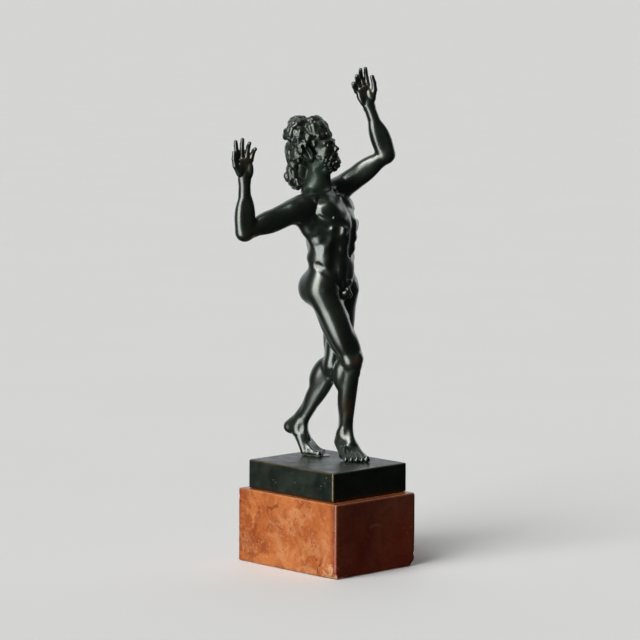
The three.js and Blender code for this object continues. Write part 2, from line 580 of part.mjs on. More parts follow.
function figureMasses() {
  const turned = (turn) => vec(Math.cos(turn * DEG), Math.sin(turn * DEG), 0);
  const up = vec(0, 0, 1);
  const hips = vec(...HIPS);
  const chest = vec(...CHEST);
  const spine = chest.clone().sub(hips).normalize();
  const lean = mixed(spine, up, 0.5).normalize();
  const hipSide = turned(HIPS_TURN).addScaledVector(up, -HIPS_DROP_LEFT * DEG).normalize();
  const hipFront = heading(HIPS_TURN).addScaledVector(lean, -heading(HIPS_TURN).dot(lean));
  const pelvis = frameOf(hips, hipSide, hipFront.normalize(), lean);
  const back = mixed(spine, heading(CHEST_TURN), -0.22).normalize();
  const chestSide = turned(CHEST_TURN).addScaledVector(up, CHEST_RISE_LEFT * DEG).normalize();
  const chestFront = heading(CHEST_TURN).addScaledVector(back, -heading(CHEST_TURN).dot(back));
  const thorax = frameOf(chest, chestSide, chestFront.normalize(), back);
  const shoulders = [
    place(thorax, -SHOULDER_HALF, -RIGHT_SHOULDER_BACK, 0),
    place(thorax, SHOULDER_HALF, -LEFT_SHOULDER_BACK, 0),
  ];
  const face = heading(HEAD_TURN, HEAD_LIFT);
  const headSide = turned(HEAD_TURN);
  const skull = frameOf(vec(...HEAD_AT), headSide, face, face.clone().cross(headSide));
  const neckRoot = place(thorax, 0, -2.2, 2);
  const neckTop = place(skull, 0, -3.5, -7.5);
  const neckAlong = neckTop.clone().sub(neckRoot);
  const neckLong = neckAlong.length();
  neckAlong.normalize();
  const neckFront = heading((CHEST_TURN + HEAD_TURN) / 2);
  neckFront.addScaledVector(neckAlong, -neckFront.dot(neckAlong)).normalize();
  const neckSide = neckAlong.clone().cross(neckFront).negate();
  const neck = frameOf(neckRoot, neckSide, neckFront, neckAlong.multiplyScalar(neckLong / 22));

  const hipRight = place(pelvis, -HIP_HALF, 0, 0);
  const hipLeft = place(pelvis, HIP_HALF, 0, 0);
  const footRight = footFrame(RIGHT_BALL, RIGHT_FOOT_TURN, RIGHT_FOOT_PITCH, -1);
  const footLeft = footFrame(LEFT_BALL, LEFT_FOOT_TURN, LEFT_FOOT_PITCH, 1);
  const kneeRight = bend(hipRight, footRight.ankle, THIGH, SHANK, heading(RIGHT_KNEE_TURN));
  const kneeLeft = bend(hipLeft, footLeft.ankle, THIGH, SHANK, heading(LEFT_KNEE_TURN));
  const wristRight = vec(...RIGHT_WRIST);
  const wristLeft = vec(...LEFT_WRIST);
  const elbowRight = bend(shoulders[0], wristRight, UPPER_ARM, FOREARM, vec(0, 0, -1));
  const elbowLeft = bend(shoulders[1], wristLeft, UPPER_ARM, FOREARM, vec(0.66, -0.75, 0));
  const rightOut = pelvis.side.clone().negate();
  // how the hands face and reach, and how far each finger curls
  const rightHand = [vec(-0.45, -0.88, 0.1), vec(0.02, 0.02, 1), -1, [0.1, 0.16, 0.3, 0.42]];
  const leftHand = [vec(-0.5, -0.84, 0.2), vec(-0.3, 0.22, 0.92), 1, [0.16, 0.3, 0.44, 0.58]];
  return [
    trunk(pelvis, thorax, neck),
    head(skull),
    leg(hipRight, kneeRight, footRight.ankle, footRight, heading(RIGHT_KNEE_TURN), rightOut),
    leg(hipLeft, kneeLeft, footLeft.ankle, footLeft, heading(LEFT_KNEE_TURN), pelvis.side),
    arm(shoulders[0], elbowRight, wristRight, vec(-1, 0, 0), ...rightHand),
    arm(shoulders[1], elbowLeft, wristLeft, vec(1, 0, 0), ...leftHand),
  ];
}

// Distance from the skin at the points of a grid, worked out block by block
function sampleMasses(masses, cell) {
  const box = new THREE.Box3();
  for (const m of masses) for (const s of m.steps) if (!s.cut) box.union(s.box);
  box.expandByScalar(2 * cell);
  box.min.z = GROUND - 2.5 * cell;
  const size = box.getSize(vec(0, 0, 0));
  const B = 8;
  const [nx, ny, nz] = [size.x, size.y, size.z].map((v) => Math.ceil(v / cell / B) * B);
  const values = new Float64Array(nx * ny * nz).fill(10);
  const near = new THREE.Box3();
  for (let bz = 0; bz < nz; bz += B)
    for (let by = 0; by < ny; by += B)
      for (let bx = 0; bx < nx; bx += B) {
        near.min.set(bx, by, bz).multiplyScalar(cell).add(box.min);
        near.max.copy(near.min).addScalar(B * cell);
        near.expandByScalar(4.5);
        const lists = masses.map((m) => m.steps.filter((s) => s.box.intersectsBox(near)));
        if (lists.every((l) => l.every((s) => s.cut))) continue;
        for (let k = bz; k < bz + B; k++)
          for (let j = by; j < by + B; j++)
            for (let i = bx; i < bx + B; i++) {
              const x = box.min.x + i * cell;
              const y = box.min.y + j * cell;
              const z = box.min.z + k * cell;
              let skin = 20;
              masses.forEach((m, which) => {
                let d = 20;
                for (const s of lists[which]) {
                  const v = s.distance(x, y, z);
                  d = s.cut ? -joinSoft(-d, v, s.k) : joinSoft(d, v, s.k);
                }
                const away = Math.hypot(x - m.root.x, y - m.root.y, z - m.root.z) / m.reach;
                const blend = 0.5 + m.blend * Math.min(Math.max(2 - away, 0), 1);
                skin = joinSoft(skin, d, blend);
              });
              skin = Math.max(skin, GROUND - z);
              values[i + nx * (j + ny * k)] = Math.abs(skin) < 1e-5 ? 1e-5 : skin;
            }
      }
  return { values, nx, ny, nz, origin: box.min, cell };
}

// A closed skin where the distance is nought: each grid cube is six tetrahedra
function skinOf({ values, nx, ny, nz, origin, cell }) {
  const points = [];
  const faces = [];
  const seen = new Map();
  const corners = [0, 1, 2, 3, 4, 5, 6, 7].map((c) => [c & 1, (c >> 1) & 1, (c >> 2) & 1]);
  const tets = [
    [0, 1, 3, 7],
    [0, 3, 2, 7],
    [0, 2, 6, 7],
    [0, 6, 4, 7],
    [0, 4, 5, 7],
    [0, 5, 1, 7],
  ];
  const total = nx * ny * nz;
  const crossing = (a, b) => {
    const [lo, hi] = a < b ? [a, b] : [b, a];
    const key = lo * total + hi;
    let at = seen.get(key);
    if (at !== undefined) return at;
    const t = values[lo] / (values[lo] - values[hi]);
    const share = Math.min(Math.max(t, 0.02), 0.98);
    const xyz = (n) => [n % nx, Math.floor(n / nx) % ny, Math.floor(n / (nx * ny))];
    const p = xyz(lo);
    const q = xyz(hi);
    at = points.length / 3;
    const base = [origin.x, origin.y, origin.z];
    for (let e = 0; e < 3; e++) points.push(base[e] + cell * (p[e] + share * (q[e] - p[e])));
    seen.set(key, at);
    return at;
  };
  for (let k = 0; k < nz - 1; k++)
    for (let j = 0; j < ny - 1; j++)
      for (let i = 0; i < nx - 1; i++) {
        const ids = corners.map(([a, b, c]) => i + a + nx * (j + b + ny * (k + c)));
        const inside = ids.filter((n) => values[n] < 0).length;
        if (inside === 0 || inside === 8) continue;
        for (const tet of tets) {
          const n = tet.map((c) => ids[c]);
          const into = n.filter((v) => values[v] < 0);
          const out = n.filter((v) => values[v] >= 0);
          if (!into.length || !out.length) continue;
          // an even order of inside then outside corners keeps the faces pointing out
          const order = [...into, ...out].map((v) => n.indexOf(v));
          let swaps = 0;
          for (let a = 0; a < 4; a++) for (let b = a + 1; b < 4; b++) if (order[a] > order[b]) swaps++;
          const even = swaps % 2 === 0;
          const face = (a, b, c) => faces.push(...(even ? [a, b, c] : [a, c, b]));
          if (into.length === 1) {
            const [o] = into;
            face(crossing(o, out[0]), crossing(o, out[1]), crossing(o, out[2]));
          } else if (into.length === 3) {
            const [o] = out;
            face(crossing(into[0], o), crossing(into[1], o), crossing(into[2], o));
          } else {
            const a = crossing(into[0], out[0]);
            const b = crossing(into[0], out[1]);
            const c = crossing(into[1], out[1]);
            const d = crossing(into[1], out[0]);
            face(a, b, c);
            face(a, c, d);
          }
        }
      }
  return { points: Float64Array.from(points), faces: Int32Array.from(faces) };
}

// The biggest connected piece of a skin
function biggestPiece({ points, faces }) {
  const parent = Int32Array.from({ length: points.length / 3 }, (_, i) => i);
  const find = (a) => {
    while (parent[a] !== a) {
      parent[a] = parent[parent[a]];
      a = parent[a];
    }
    return a;
  };
  for (let i = 0; i < faces.length; i += 3)
    for (let e = 1; e < 3; e++) parent[find(faces[i])] = find(faces[i + e]);
  const count = new Map();
  for (let i = 0; i < faces.length; i += 3) {
    const root = find(faces[i]);
    count.set(root, (count.get(root) || 0) + 1);
  }
  const [main] = [...count].sort((a, b) => b[1] - a[1])[0];
  return { points, faces: faces.filter((_, n) => find(faces[n - (n % 3)]) === main) };
}

// Fewer triangles: the edge whose loss moves the skin least is closed up, again and again
function simplified({ points, faces }, target) {
  const n = points.length / 3;
  const quad = new Float64Array(n * 10);
  const fans = Array.from({ length: n }, () => []);
  const alive = new Uint8Array(faces.length / 3).fill(1);
  const stamp = new Int32Array(n);
  const normal = (a, b, c, out) => {
    const ux = points[3 * b] - points[3 * a];
    const uy = points[3 * b + 1] - points[3 * a + 1];
    const uz = points[3 * b + 2] - points[3 * a + 2];
    const vx = points[3 * c] - points[3 * a];
    const vy = points[3 * c + 1] - points[3 * a + 1];
    const vz = points[3 * c + 2] - points[3 * a + 2];
    out[0] = uy * vz - uz * vy;
    out[1] = uz * vx - ux * vz;
    out[2] = ux * vy - uy * vx;
    return Math.hypot(out[0], out[1], out[2]);
  };
  const w = [0, 0, 0];
  for (let t = 0; t < alive.length; t++) {
    const tri = [faces[3 * t], faces[3 * t + 1], faces[3 * t + 2]];
    for (const v of tri) fans[v].push(t);
    const size = normal(...tri, w);
    if (size < 1e-12) continue;
    const [x, y, z] = w.map((c) => c / size);
    const d = -(x * points[3 * tri[0]] + y * points[3 * tri[0] + 1] + z * points[3 * tri[0] + 2]);
    const terms = [x * x, x * y, x * z, x * d, y * y, y * z, y * d, z * z, z * d, d * d];
    for (const v of tri) for (let e = 0; e < 10; e++) quad[10 * v + e] += terms[e] * size * 0.5;
  }
  const errorAt = (q, x, y, z) =>
    q[0] * x * x + 2 * q[1] * x * y + 2 * q[2] * x * z + 2 * q[3] * x + q[4] * y * y +
    2 * q[5] * y * z + 2 * q[6] * y + q[7] * z * z + 2 * q[8] * z + q[9];
  const q = new Float64Array(10);
  const best = (a, b) => {
    for (let e = 0; e < 10; e++) q[e] = quad[10 * a + e] + quad[10 * b + e];
    const mid = [0, 1, 2].map((e) => (points[3 * a + e] + points[3 * b + e]) / 2);
    const span = Math.hypot(...[0, 1, 2].map((e) => points[3 * a + e] - points[3 * b + e]));
    const tries = [[0, 1, 2].map((e) => points[3 * a + e]), [0, 1, 2].map((e) => points[3 * b + e]), mid];
    const det =
      q[0] * (q[4] * q[7] - q[5] * q[5]) - q[1] * (q[1] * q[7] - q[5] * q[2]) +
      q[2] * (q[1] * q[5] - q[4] * q[2]);
    if (Math.abs(det) > 1e-7) {
      const x = -(q[3] * (q[4] * q[7] - q[5] * q[5]) - q[1] * (q[6] * q[7] - q[5] * q[8]) +
        q[2] * (q[6] * q[5] - q[4] * q[8])) / det;
      const y = -(q[0] * (q[6] * q[7] - q[8] * q[5]) - q[3] * (q[1] * q[7] - q[5] * q[2]) +
        q[2] * (q[1] * q[8] - q[6] * q[2])) / det;
      const z = -(q[0] * (q[4] * q[8] - q[5] * q[6]) - q[1] * (q[1] * q[8] - q[6] * q[2]) +
        q[3] * (q[1] * q[5] - q[4] * q[2])) / det;
      if (Math.hypot(x - mid[0], y - mid[1], z - mid[2]) < 1.5 * span) tries.push([x, y, z]);
    }
    let found = null;
    for (const at of tries) {
      const cost = errorAt(q, ...at) + 1e-5 * span * span;
      if (!found || cost < found.cost) found = { cost, at };
    }
    return found;
  };
  // a heap of edges, cheapest first
  const heap = [];
  const push = (item) => {
    heap.push(item);
    let i = heap.length - 1;
    while (i > 0) {
      const up = (i - 1) >> 1;
      if (heap[up].cost <= heap[i].cost) break;
      [heap[up], heap[i]] = [heap[i], heap[up]];
      i = up;
    }
  };
  const pop = () => {
    const top = heap[0];
    const last = heap.pop();
    if (heap.length) {
      heap[0] = last;
      let i = 0;
      for (;;) {
        let c = 2 * i + 1;
        if (c >= heap.length) break;
        if (c + 1 < heap.length && heap[c + 1].cost < heap[c].cost) c++;
        if (heap[i].cost <= heap[c].cost) break;
        [heap[c], heap[i]] = [heap[i], heap[c]];
        i = c;
      }
    }
    return top;
  };
  const offer = (a, b) => push({ a, b, sa: stamp[a], sb: stamp[b], ...best(a, b) });
  const around = (v) => {
    const ring = new Set();
    for (const t of fans[v])
      if (alive[t]) for (let e = 0; e < 3; e++) if (faces[3 * t + e] !== v) ring.add(faces[3 * t + e]);
    return ring;
  };
  for (let v = 0; v < n; v++) for (const o of around(v)) if (v < o) offer(v, o);
  let left = alive.length;
  const turns = (v, other, at) => {
    const old = [0, 1, 2].map((e) => points[3 * v + e]);
    for (const t of fans[v]) {
      if (!alive[t]) continue;
      const tri = [faces[3 * t], faces[3 * t + 1], faces[3 * t + 2]];
      if (tri.includes(other)) continue;
      const n0 = [0, 0, 0];
      const n1 = [0, 0, 0];
      const s0 = normal(...tri, n0);
      for (let e = 0; e < 3; e++) points[3 * v + e] = at[e];
      const s1 = normal(...tri, n1);
      for (let e = 0; e < 3; e++) points[3 * v + e] = old[e];
      const dot = n0[0] * n1[0] + n0[1] * n1[1] + n0[2] * n1[2];
      if (s1 < 0.004 || dot < 0.25 * s0 * s1) return true;
    }
    return false;
  };
  while (left > target && heap.length) {
    const { a, b, sa, sb, at } = pop();
    if (stamp[a] !== sa || stamp[b] !== sb) continue;
    const ra = around(a);
    const rb = around(b);
    if (!ra.has(b)) continue;
    let shared = 0;
    for (const v of ra) if (rb.has(v)) shared++;
    if (shared !== 2 || turns(a, b, at) || turns(b, a, at)) continue;
    for (const t of fans[b]) {
      if (!alive[t]) continue;
      const e = [0, 1, 2].map((c) => faces[3 * t + c]);
      if (e.includes(a)) {
        alive[t] = 0;
        left--;
      } else {
        faces[3 * t + e.indexOf(b)] = a;
        fans[a].push(t);
      }
    }
    fans[b] = [];
    fans[a] = fans[a].filter((t) => alive[t]);
    for (let e = 0; e < 3; e++) points[3 * a + e] = at[e];
    for (let e = 0; e < 10; e++) quad[10 * a + e] += quad[10 * b + e];
    stamp[a]++;
    stamp[b]++;
    for (const v of around(a)) offer(a, v);
  }
  const index = [];
  for (let t = 0; t < alive.length; t++)
    if (alive[t]) index.push(faces[3 * t], faces[3 * t + 1], faces[3 * t + 2]);
  const geometry = new THREE.BufferGeometry();
  geometry.setAttribute("position", new THREE.BufferAttribute(Float32Array.from(points), 3));
  geometry.setIndex(index);
  return mergeVertices(geometry.toNonIndexed(), 1e-4);
}

function figureGeometry() {
  const grid = sampleMasses(figureMasses(), CELL);
  return simplified(biggestPiece(skinOf(grid)), SKIN_TRIANGLES);
}

// Solids for cutting
const wasm = await Module();
wasm.setup();

function solidOf(geometry) {
  const bare = geometry.clone();
  for (const name of Object.keys(bare.attributes)) if (name !== "position") bare.deleteAttribute(name);
  const merged = mergeVertices(bare, 1e-3);
  const vertProperties = new Float32Array(merged.attributes.position.array);
  const triVerts = new Uint32Array(merged.index.array);
  return new wasm.Manifold(new wasm.Mesh({ numProp: 3, vertProperties, triVerts }));
}

function geometryOf(solid) {
  const mesh = solid.getMesh();
  const geometry = new THREE.BufferGeometry();
  geometry.setAttribute("position", new THREE.BufferAttribute(mesh.vertProperties, 3));
  geometry.setIndex(new THREE.BufferAttribute(mesh.triVerts, 1));
  geometry.computeVertexNormals();
  return geometry;
}

// Marble block: worn edges, the lower corner at the front right broken away
// and a chip under the corner that shows most
function blockGeometry() {
  const body = new RoundedBoxGeometry(BLOCK_X, BLOCK_Y, BLOCK_Z, 2, BLOCK_EDGE);
  const knife = (x, y, z, size, ...turns) =>
    new THREE.BoxGeometry(size, size, size)
      .rotateX(turns[0] * DEG)
      .rotateY(turns[1] * DEG)
      .rotateZ(turns[2] * DEG)
      .translate(x, y, z);
  const [hx, hy, hz] = [BLOCK_X / 2, BLOCK_Y / 2, BLOCK_Z / 2];
  const side = knife(hx + 1.2, -hy + 0.6, -hz - 1, CHIP_SIDE, 12, 38, 40);
  const front = knife(-hx - 0.5, -hy - 0.5, -hz - 0.3, CHIP_FRONT, 38, 20, 45);
  return geometryOf(solidOf(body).subtract(solidOf(side)).subtract(solidOf(front)));
}

const bronze = new THREE.MeshStandardMaterial({ color: 0x15201b, roughness: 0.32, metalness: 0.85 });
const plinthBronze = new THREE.MeshStandardMaterial({ color: 0x1b231f, roughness: 0.4, metalness: 0.8 });
const marble = new THREE.MeshStandardMaterial({ color: 0xa8562f, roughness: 0.35, metalness: 0 });

const block = new THREE.Mesh(blockGeometry(), marble);
block.name = "marble_block";
block.position.z = BLOCK_Z / 2;

const plinthShape = new RoundedBoxGeometry(PLINTH_X, PLINTH_Y, PLINTH_Z, 2, PLINTH_EDGE);
const plinth = new THREE.Mesh(geometryOf(solidOf(plinthShape)), plinthBronze);
plinth.name = "bronze_plinth";
plinth.position.set(PLINTH_SHIFT_X, PLINTH_SHIFT_Y, BLOCK_Z + PLINTH_Z / 2);

const figure = new THREE.Mesh(figureGeometry(), bronze);
figure.name = "faun_figure";

const statuette = new THREE.Group();
statuette.add(block, plinth, figure);

export default statuette;
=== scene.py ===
from math import cos, pi, radians, sin, sqrt

import bmesh
import bpy
import numpy as np
from mathutils import Matrix

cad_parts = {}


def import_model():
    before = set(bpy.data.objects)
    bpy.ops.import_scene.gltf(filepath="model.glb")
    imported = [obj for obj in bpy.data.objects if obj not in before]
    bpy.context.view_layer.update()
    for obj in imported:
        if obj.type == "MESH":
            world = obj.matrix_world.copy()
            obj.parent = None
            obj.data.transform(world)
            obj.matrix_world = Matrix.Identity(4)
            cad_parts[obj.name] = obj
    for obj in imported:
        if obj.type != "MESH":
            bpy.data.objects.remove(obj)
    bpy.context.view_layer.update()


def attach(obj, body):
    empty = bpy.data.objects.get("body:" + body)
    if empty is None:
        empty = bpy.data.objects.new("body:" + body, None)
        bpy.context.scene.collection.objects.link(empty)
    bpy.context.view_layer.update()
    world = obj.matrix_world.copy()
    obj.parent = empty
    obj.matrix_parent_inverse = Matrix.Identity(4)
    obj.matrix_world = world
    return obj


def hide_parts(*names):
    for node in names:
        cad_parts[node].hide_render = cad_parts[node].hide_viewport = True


# Millimetres and degrees, Z up. The figure's front is -Y and its left is +X.
GROUND = 61.3
THIGH, SHANK = 46.5, 50.5
UPPER_ARM, FOREARM = 38.0, 32.0
# the hand is laid out at the drawn length and then grown to its own
HAND, HAND_DRAWN = 25.0, 22.0
SHOULDER_HALF, HIP_HALF = 21.5, 10.4
BALL_TO_ANKLE, BALL_TO_HEEL = 15.5, 20.5
ANKLE_HEIGHT, SOLE = 6.4, 2.1
# the length that the neck is laid out at before it is stretched to the head
NECK = 22
HIPS, CHEST, HEAD_AT = (7.0, 4.0, 164.6), (6.5, 12.5, 216.3), (5, 12.8, 246.2)
HIPS_TURN, HIPS_DROP_LEFT = 10, 3
CHEST_TURN, CHEST_RISE_LEFT = 22, 7.5
HEAD_TURN, HEAD_LIFT = 21, 18
RIGHT_SHOULDER_BACK, LEFT_SHOULDER_BACK = 5.5, 1
RIGHT_BALL, LEFT_BALL = (13.5, -7.2), (10.4, 25.6)
RIGHT_FOOT_TURN, LEFT_FOOT_TURN = -24, 16
RIGHT_FOOT_PITCH, LEFT_FOOT_PITCH = 21, 41
RIGHT_KNEE_TURN, LEFT_KNEE_TURN = 10, -14
RIGHT_WRIST, LEFT_WRIST = (-50, 19, 231), (41.5, 9, 271.5)
# where the elbow drops to, where the palm faces and where the hand reaches
RIGHT_ARM_WAYS = ((0, 0, -1), (-0.45, -0.88, 0.1), (0.02, 0.02, 1))
LEFT_ARM_WAYS = ((0.66, -0.75, 0), (-0.5, -0.84, 0.2), (-0.3, 0.22, 0.92))
# each finger from the first: its length as a share of the hand, and how it is spread
FINGERS = (0.42, 0.46, 0.43, 0.34)
SPREAD = (0.16, 0.05, -0.05, -0.15)
RIGHT_CURLS, LEFT_CURLS = (0.1, 0.16, 0.3, 0.42), (0.16, 0.3, 0.44, 0.58)
# Wear, as spots (x, y, z, radius) on the figure
WEAR = {
    "brown": [(7.5, -17.5, 122, 3), (-48, 14, 196.5, 4.5), (14, -7, 92, 7)],
    "brass": [(-50, 16, 240, 6), (38, 10, 281, 5)],
    "green": [(-1, 9, 230, 10), (30, 14, 250, 7)],
    "hair": [(2, 20, 246, 17), (5, 12, 256, 16), (9, 8, 236, 9), (-5, 28, 231, 9)],
    "solder": [(3.5, 23, 61.5, 6), (5, 18, 61.5, 6), (7, 12.5, 61.5, 6)],
}
# Base: a marble block with a bronze plinth on it
BLOCK, PLINTH = (66.0, 83.0, 44.0), (61.0, 72.0, 17.3)
PLINTH_SHIFT = (1.2, 0.8)
CHIP_FRONT, CHIP_SIDE = 3.2, 7.5
FIGURE_CELL, BASE_CELL = (0.3, 0.55), (0.6, 1.2)
FIGURE_FACES, BASE_SHARE = 95000, 0.35
# Camera at the photograph's angle
AZIMUTH, ELEVATION, ROLL = -44.3, 6.6, 0.39
FOCAL_PIXELS, FRAME_PIXELS = 3069, 640
DISTANCE = 1813.0
AIM_HEIGHT, AIM_ASIDE = 145.7, -4.7
# Window light: azimuths of its two columns, (elevation, energy) of the discs in each, their size
WINDOW_COLUMNS = (-80, -101)
WINDOW_DISCS = ((-26, 0.36), (-8, 0.44), (10, 0.46), (28, 0.46), (46, 0.46), (62, 0.46))
WINDOW_DISC, WINDOW_COLOR = 23, (1.0, 0.99, 0.975)
# A little light given back by the wall on the right: azimuth, elevation, energy, size of its disc
FAR_WALL = (88, 10, 0.09, 20)
# The height that the lights stand round and the floor's radius, in metres
LIGHTS_HEIGHT, FLOOR_RADIUS = 0.15, 45
# Distances that count as far away and as none, half a unit cube's diagonal, and a box's margin
FAR, TINY, HALF_DIAGONAL, MARGIN = 20, 1e-6, 0.87, 1.2
# The reach of a mass that joins softly everywhere, and the least softness between masses
EVERYWHERE, LEAST_BLEND = 1e4, 0.5
# Seeds of the small irregularities
HAIR_SEED, BEARD_SEED = 7, 11


def vec(*v):
    return np.array(v, float)


UP = vec(0, 0, 1)


def unit(v):
    return v / np.linalg.norm(v)


def heading(turn, rise=0.0):
    t, r = radians(turn), radians(rise)
    return vec(sin(t) * cos(r), -cos(t) * cos(r), sin(r))


def turned(turn):
    t = radians(turn)
    return vec(cos(t), sin(t), 0)


def square(v, axis):
    """v made square to a unit axis, of unit length."""
    return unit(v - axis * (v @ axis))


class Frame:
    """An origin with a side, a front and an along axis."""

    def __init__(self, origin, side, front, along, length=1.0):
        self.origin, self.side, self.front = origin, side, front
        self.along, self.length = along, length

    def at(self, side, front, along):
        return self.origin + self.side * side + self.front * front + self.along * along

    def share(self, part, side=0, front=0):
        return self.at(side, front, part * self.length)

    def moved(self, origin):
        return Frame(origin, self.side, self.front, self.along)

    def toward(self, around, high):
        """A direction by its degrees around from the front and above the level."""
        a, b = radians(around), radians(high)
        level = self.side * (sin(a) * cos(b)) + self.front * (cos(a) * cos(b))
        return level + self.along * sin(b)


def bone(a, b, hint, outward):
    along = unit(b - a)
    front = square(hint, along)
    side = np.cross(along, front)
    if side @ outward < 0:
        side = -side
    return Frame(a, side, front, along, np.linalg.norm(b - a))


def bend(a, c, upper, lower, hint):
    """The joint between two bones of given lengths that reach from a to c."""
    reach = min(np.linalg.norm(c - a), upper + lower - 0.01)
    axis = unit(c - a)
    along = (upper**2 - lower**2 + reach**2) / (2 * reach)
    out = sqrt(max(upper**2 - along**2, 0))
    return a + axis * along + square(hint, axis) * out


def cone(a, ra, b, rb):
    """A round bar from a to b."""
    a = np.asarray(a, float)
    ab = np.asarray(b, float) - a
    l2 = max(float(ab @ ab), 1e-9)
    lo, hi = np.minimum(a - ra, a + ab - rb), np.maximum(a + ra, a + ab + rb)
    a0, a1, a2 = (float(v) for v in a)
    b0, b1, b2 = (float(v) for v in ab / l2)

    def distance(x, y, z):
        px, py, pz = x - a0, y - a1, z - a2
        t = np.clip(px * b0 + py * b1 + pz * b2, 0, 1)
        px -= t * float(ab[0])
        py -= t * float(ab[1])
        pz -= t * float(ab[2])
        return np.sqrt(px * px + py * py + pz * pz) - (ra + (rb - ra) * t)

    return distance, lo, hi


def egg(frame, at, radii):
    """An ellipsoid along a frame's axes."""
    c = frame.at(*at)
    axes = (frame.side, frame.front, frame.along)
    reach = np.sqrt(sum((u * r) ** 2 for u, r in zip(axes, radii)))
    least = min(radii)

    def distance(x, y, z):
        px, py, pz = x - float(c[0]), y - float(c[1]), z - float(c[2])
        k0, k1 = 0, 0
        for u, r in zip(axes, radii):
            d = (px * float(u[0]) + py * float(u[1]) + pz * float(u[2])) / r
            d *= d
            k0 = k0 + d
            k1 = k1 + d / (r * r)
        k0 = np.sqrt(k0)
        return np.maximum(k0 * (k0 - 1) / np.sqrt(k1 + 1e-9), -least)

    return distance, c - reach, c + reach


def larger(shape, centre, by):
    """A shape drawn larger by a factor round a centre."""
    distance, lo, hi = shape
    cx, cy, cz = (float(v) for v in centre)

    def grown(x, y, z):
        return distance((x - cx) / by + cx, (y - cy) / by + cy, (z - cz) / by + cz) * by

    return grown, centre + (lo - centre) * by, centre + (hi - centre) * by


def join(a, b, k):
    """Two distances joined over a soft width k."""
    h = np.maximum(k - np.abs(a - b), 0)
    return np.minimum(a, b) - h * h * (0.25 / k)


def joined(steps, x, y, z):
    """Distance from the shapes of some steps, added or cut in their order."""
    d = np.full_like(x, FAR)
    for shape, _, _, k, cut in steps:
        v = shape(x, y, z)
        d = -join(-d, v, k) if cut else join(d, v, k)
    return d


class Mass:
    """Shapes joined softly in order. It joins the body softly near its root only."""

    def __init__(self, root, reach, blend):
        self.root, self.reach, self.blend, self.steps = root, reach, blend, []
        self.grow = None

    def add(self, shape, k=1.5, cut=False):
        if self.grow:
            shape = larger(shape, *self.grow)
        self.steps.append((*shape, k, cut))

    def cut(self, shape, k=1.0):
        self.add(shape, k, True)

    def egg(self, frame, at, radii, k):
        self.add(egg(frame, at, radii), k)

    def bar(self, a, ra, b, rb, k):
        self.add(cone(a, ra, b, rb), k)

    def eggs(self, frame, rows, s=1):
        """Ellipsoids by rows (side, front, along, radii, blend)."""
        for side, front, along, radii, k in rows:
            self.egg(frame, (s * side, front, along), radii, k)

    def mounds(self, frame, rows):
        """Muscles along a bone by rows (share of its length, side, front, radii, blend)."""
        for share, side, front, radii, k in rows:
            self.egg(frame, (side, front, share * frame.length), radii, k)

    def string(self, points, radii, k):
        """Bars along a line of points."""
        for a, b, ra, rb in zip(points, points[1:], radii, radii[1:]):
            self.bar(a, ra, b, rb, k)

    def land(self, start, way, lift=0.0):
        """Points on the skin met on the way inward from outside, raised by lift."""
        start, way = np.atleast_2d(start), np.atleast_2d(way)
        way = way / np.linalg.norm(way, axis=1, keepdims=True)
        gone = np.zeros(len(start))
        for _ in range(10):
            at = start + way * gone[:, None]
            x, y, z = (np.ascontiguousarray(at[:, i]) for i in range(3))
            gone += 0.9 * np.maximum(joined(self.steps, x, y, z), -1)
        return start + way * (gone - lift)[:, None]


def field(masses, x, y, z, lo, hi):
    """Distance from the skin at points that lie between lo and hi."""
    skin = np.full_like(x, FAR)
    for m in masses:
        if not hasattr(m, "boxes"):
            los, his, ks = (np.array([s[i] for s in m.steps]) for i in (1, 2, 3))
            away = np.array([np.linalg.norm(mid - m.root) for mid in (los + his) / 2]) / m.reach
            soft = m.blend * np.clip(2 - away, 0, 1)
            far = np.minimum(5, 1 + 2.2 * ks + soft)[:, None]
            m.boxes = (los - far, his + far)
        near = np.all(m.boxes[0] < hi, 1) & np.all(m.boxes[1] > lo, 1)
        chosen = [m.steps[i] for i in np.flatnonzero(near)]
        if all(s[4] for s in chosen):
            continue
        d = joined(chosen, x, y, z)
        if m.reach == EVERYWHERE:
            blend = LEAST_BLEND + m.blend
        else:
            away = np.sqrt((x - m.root[0]) ** 2 + (y - m.root[1]) ** 2 + (z - m.root[2]) ** 2)
            blend = LEAST_BLEND + m.blend * np.clip(2 - away / m.reach, 0, 1)
        skin = join(skin, d, blend)
    return skin


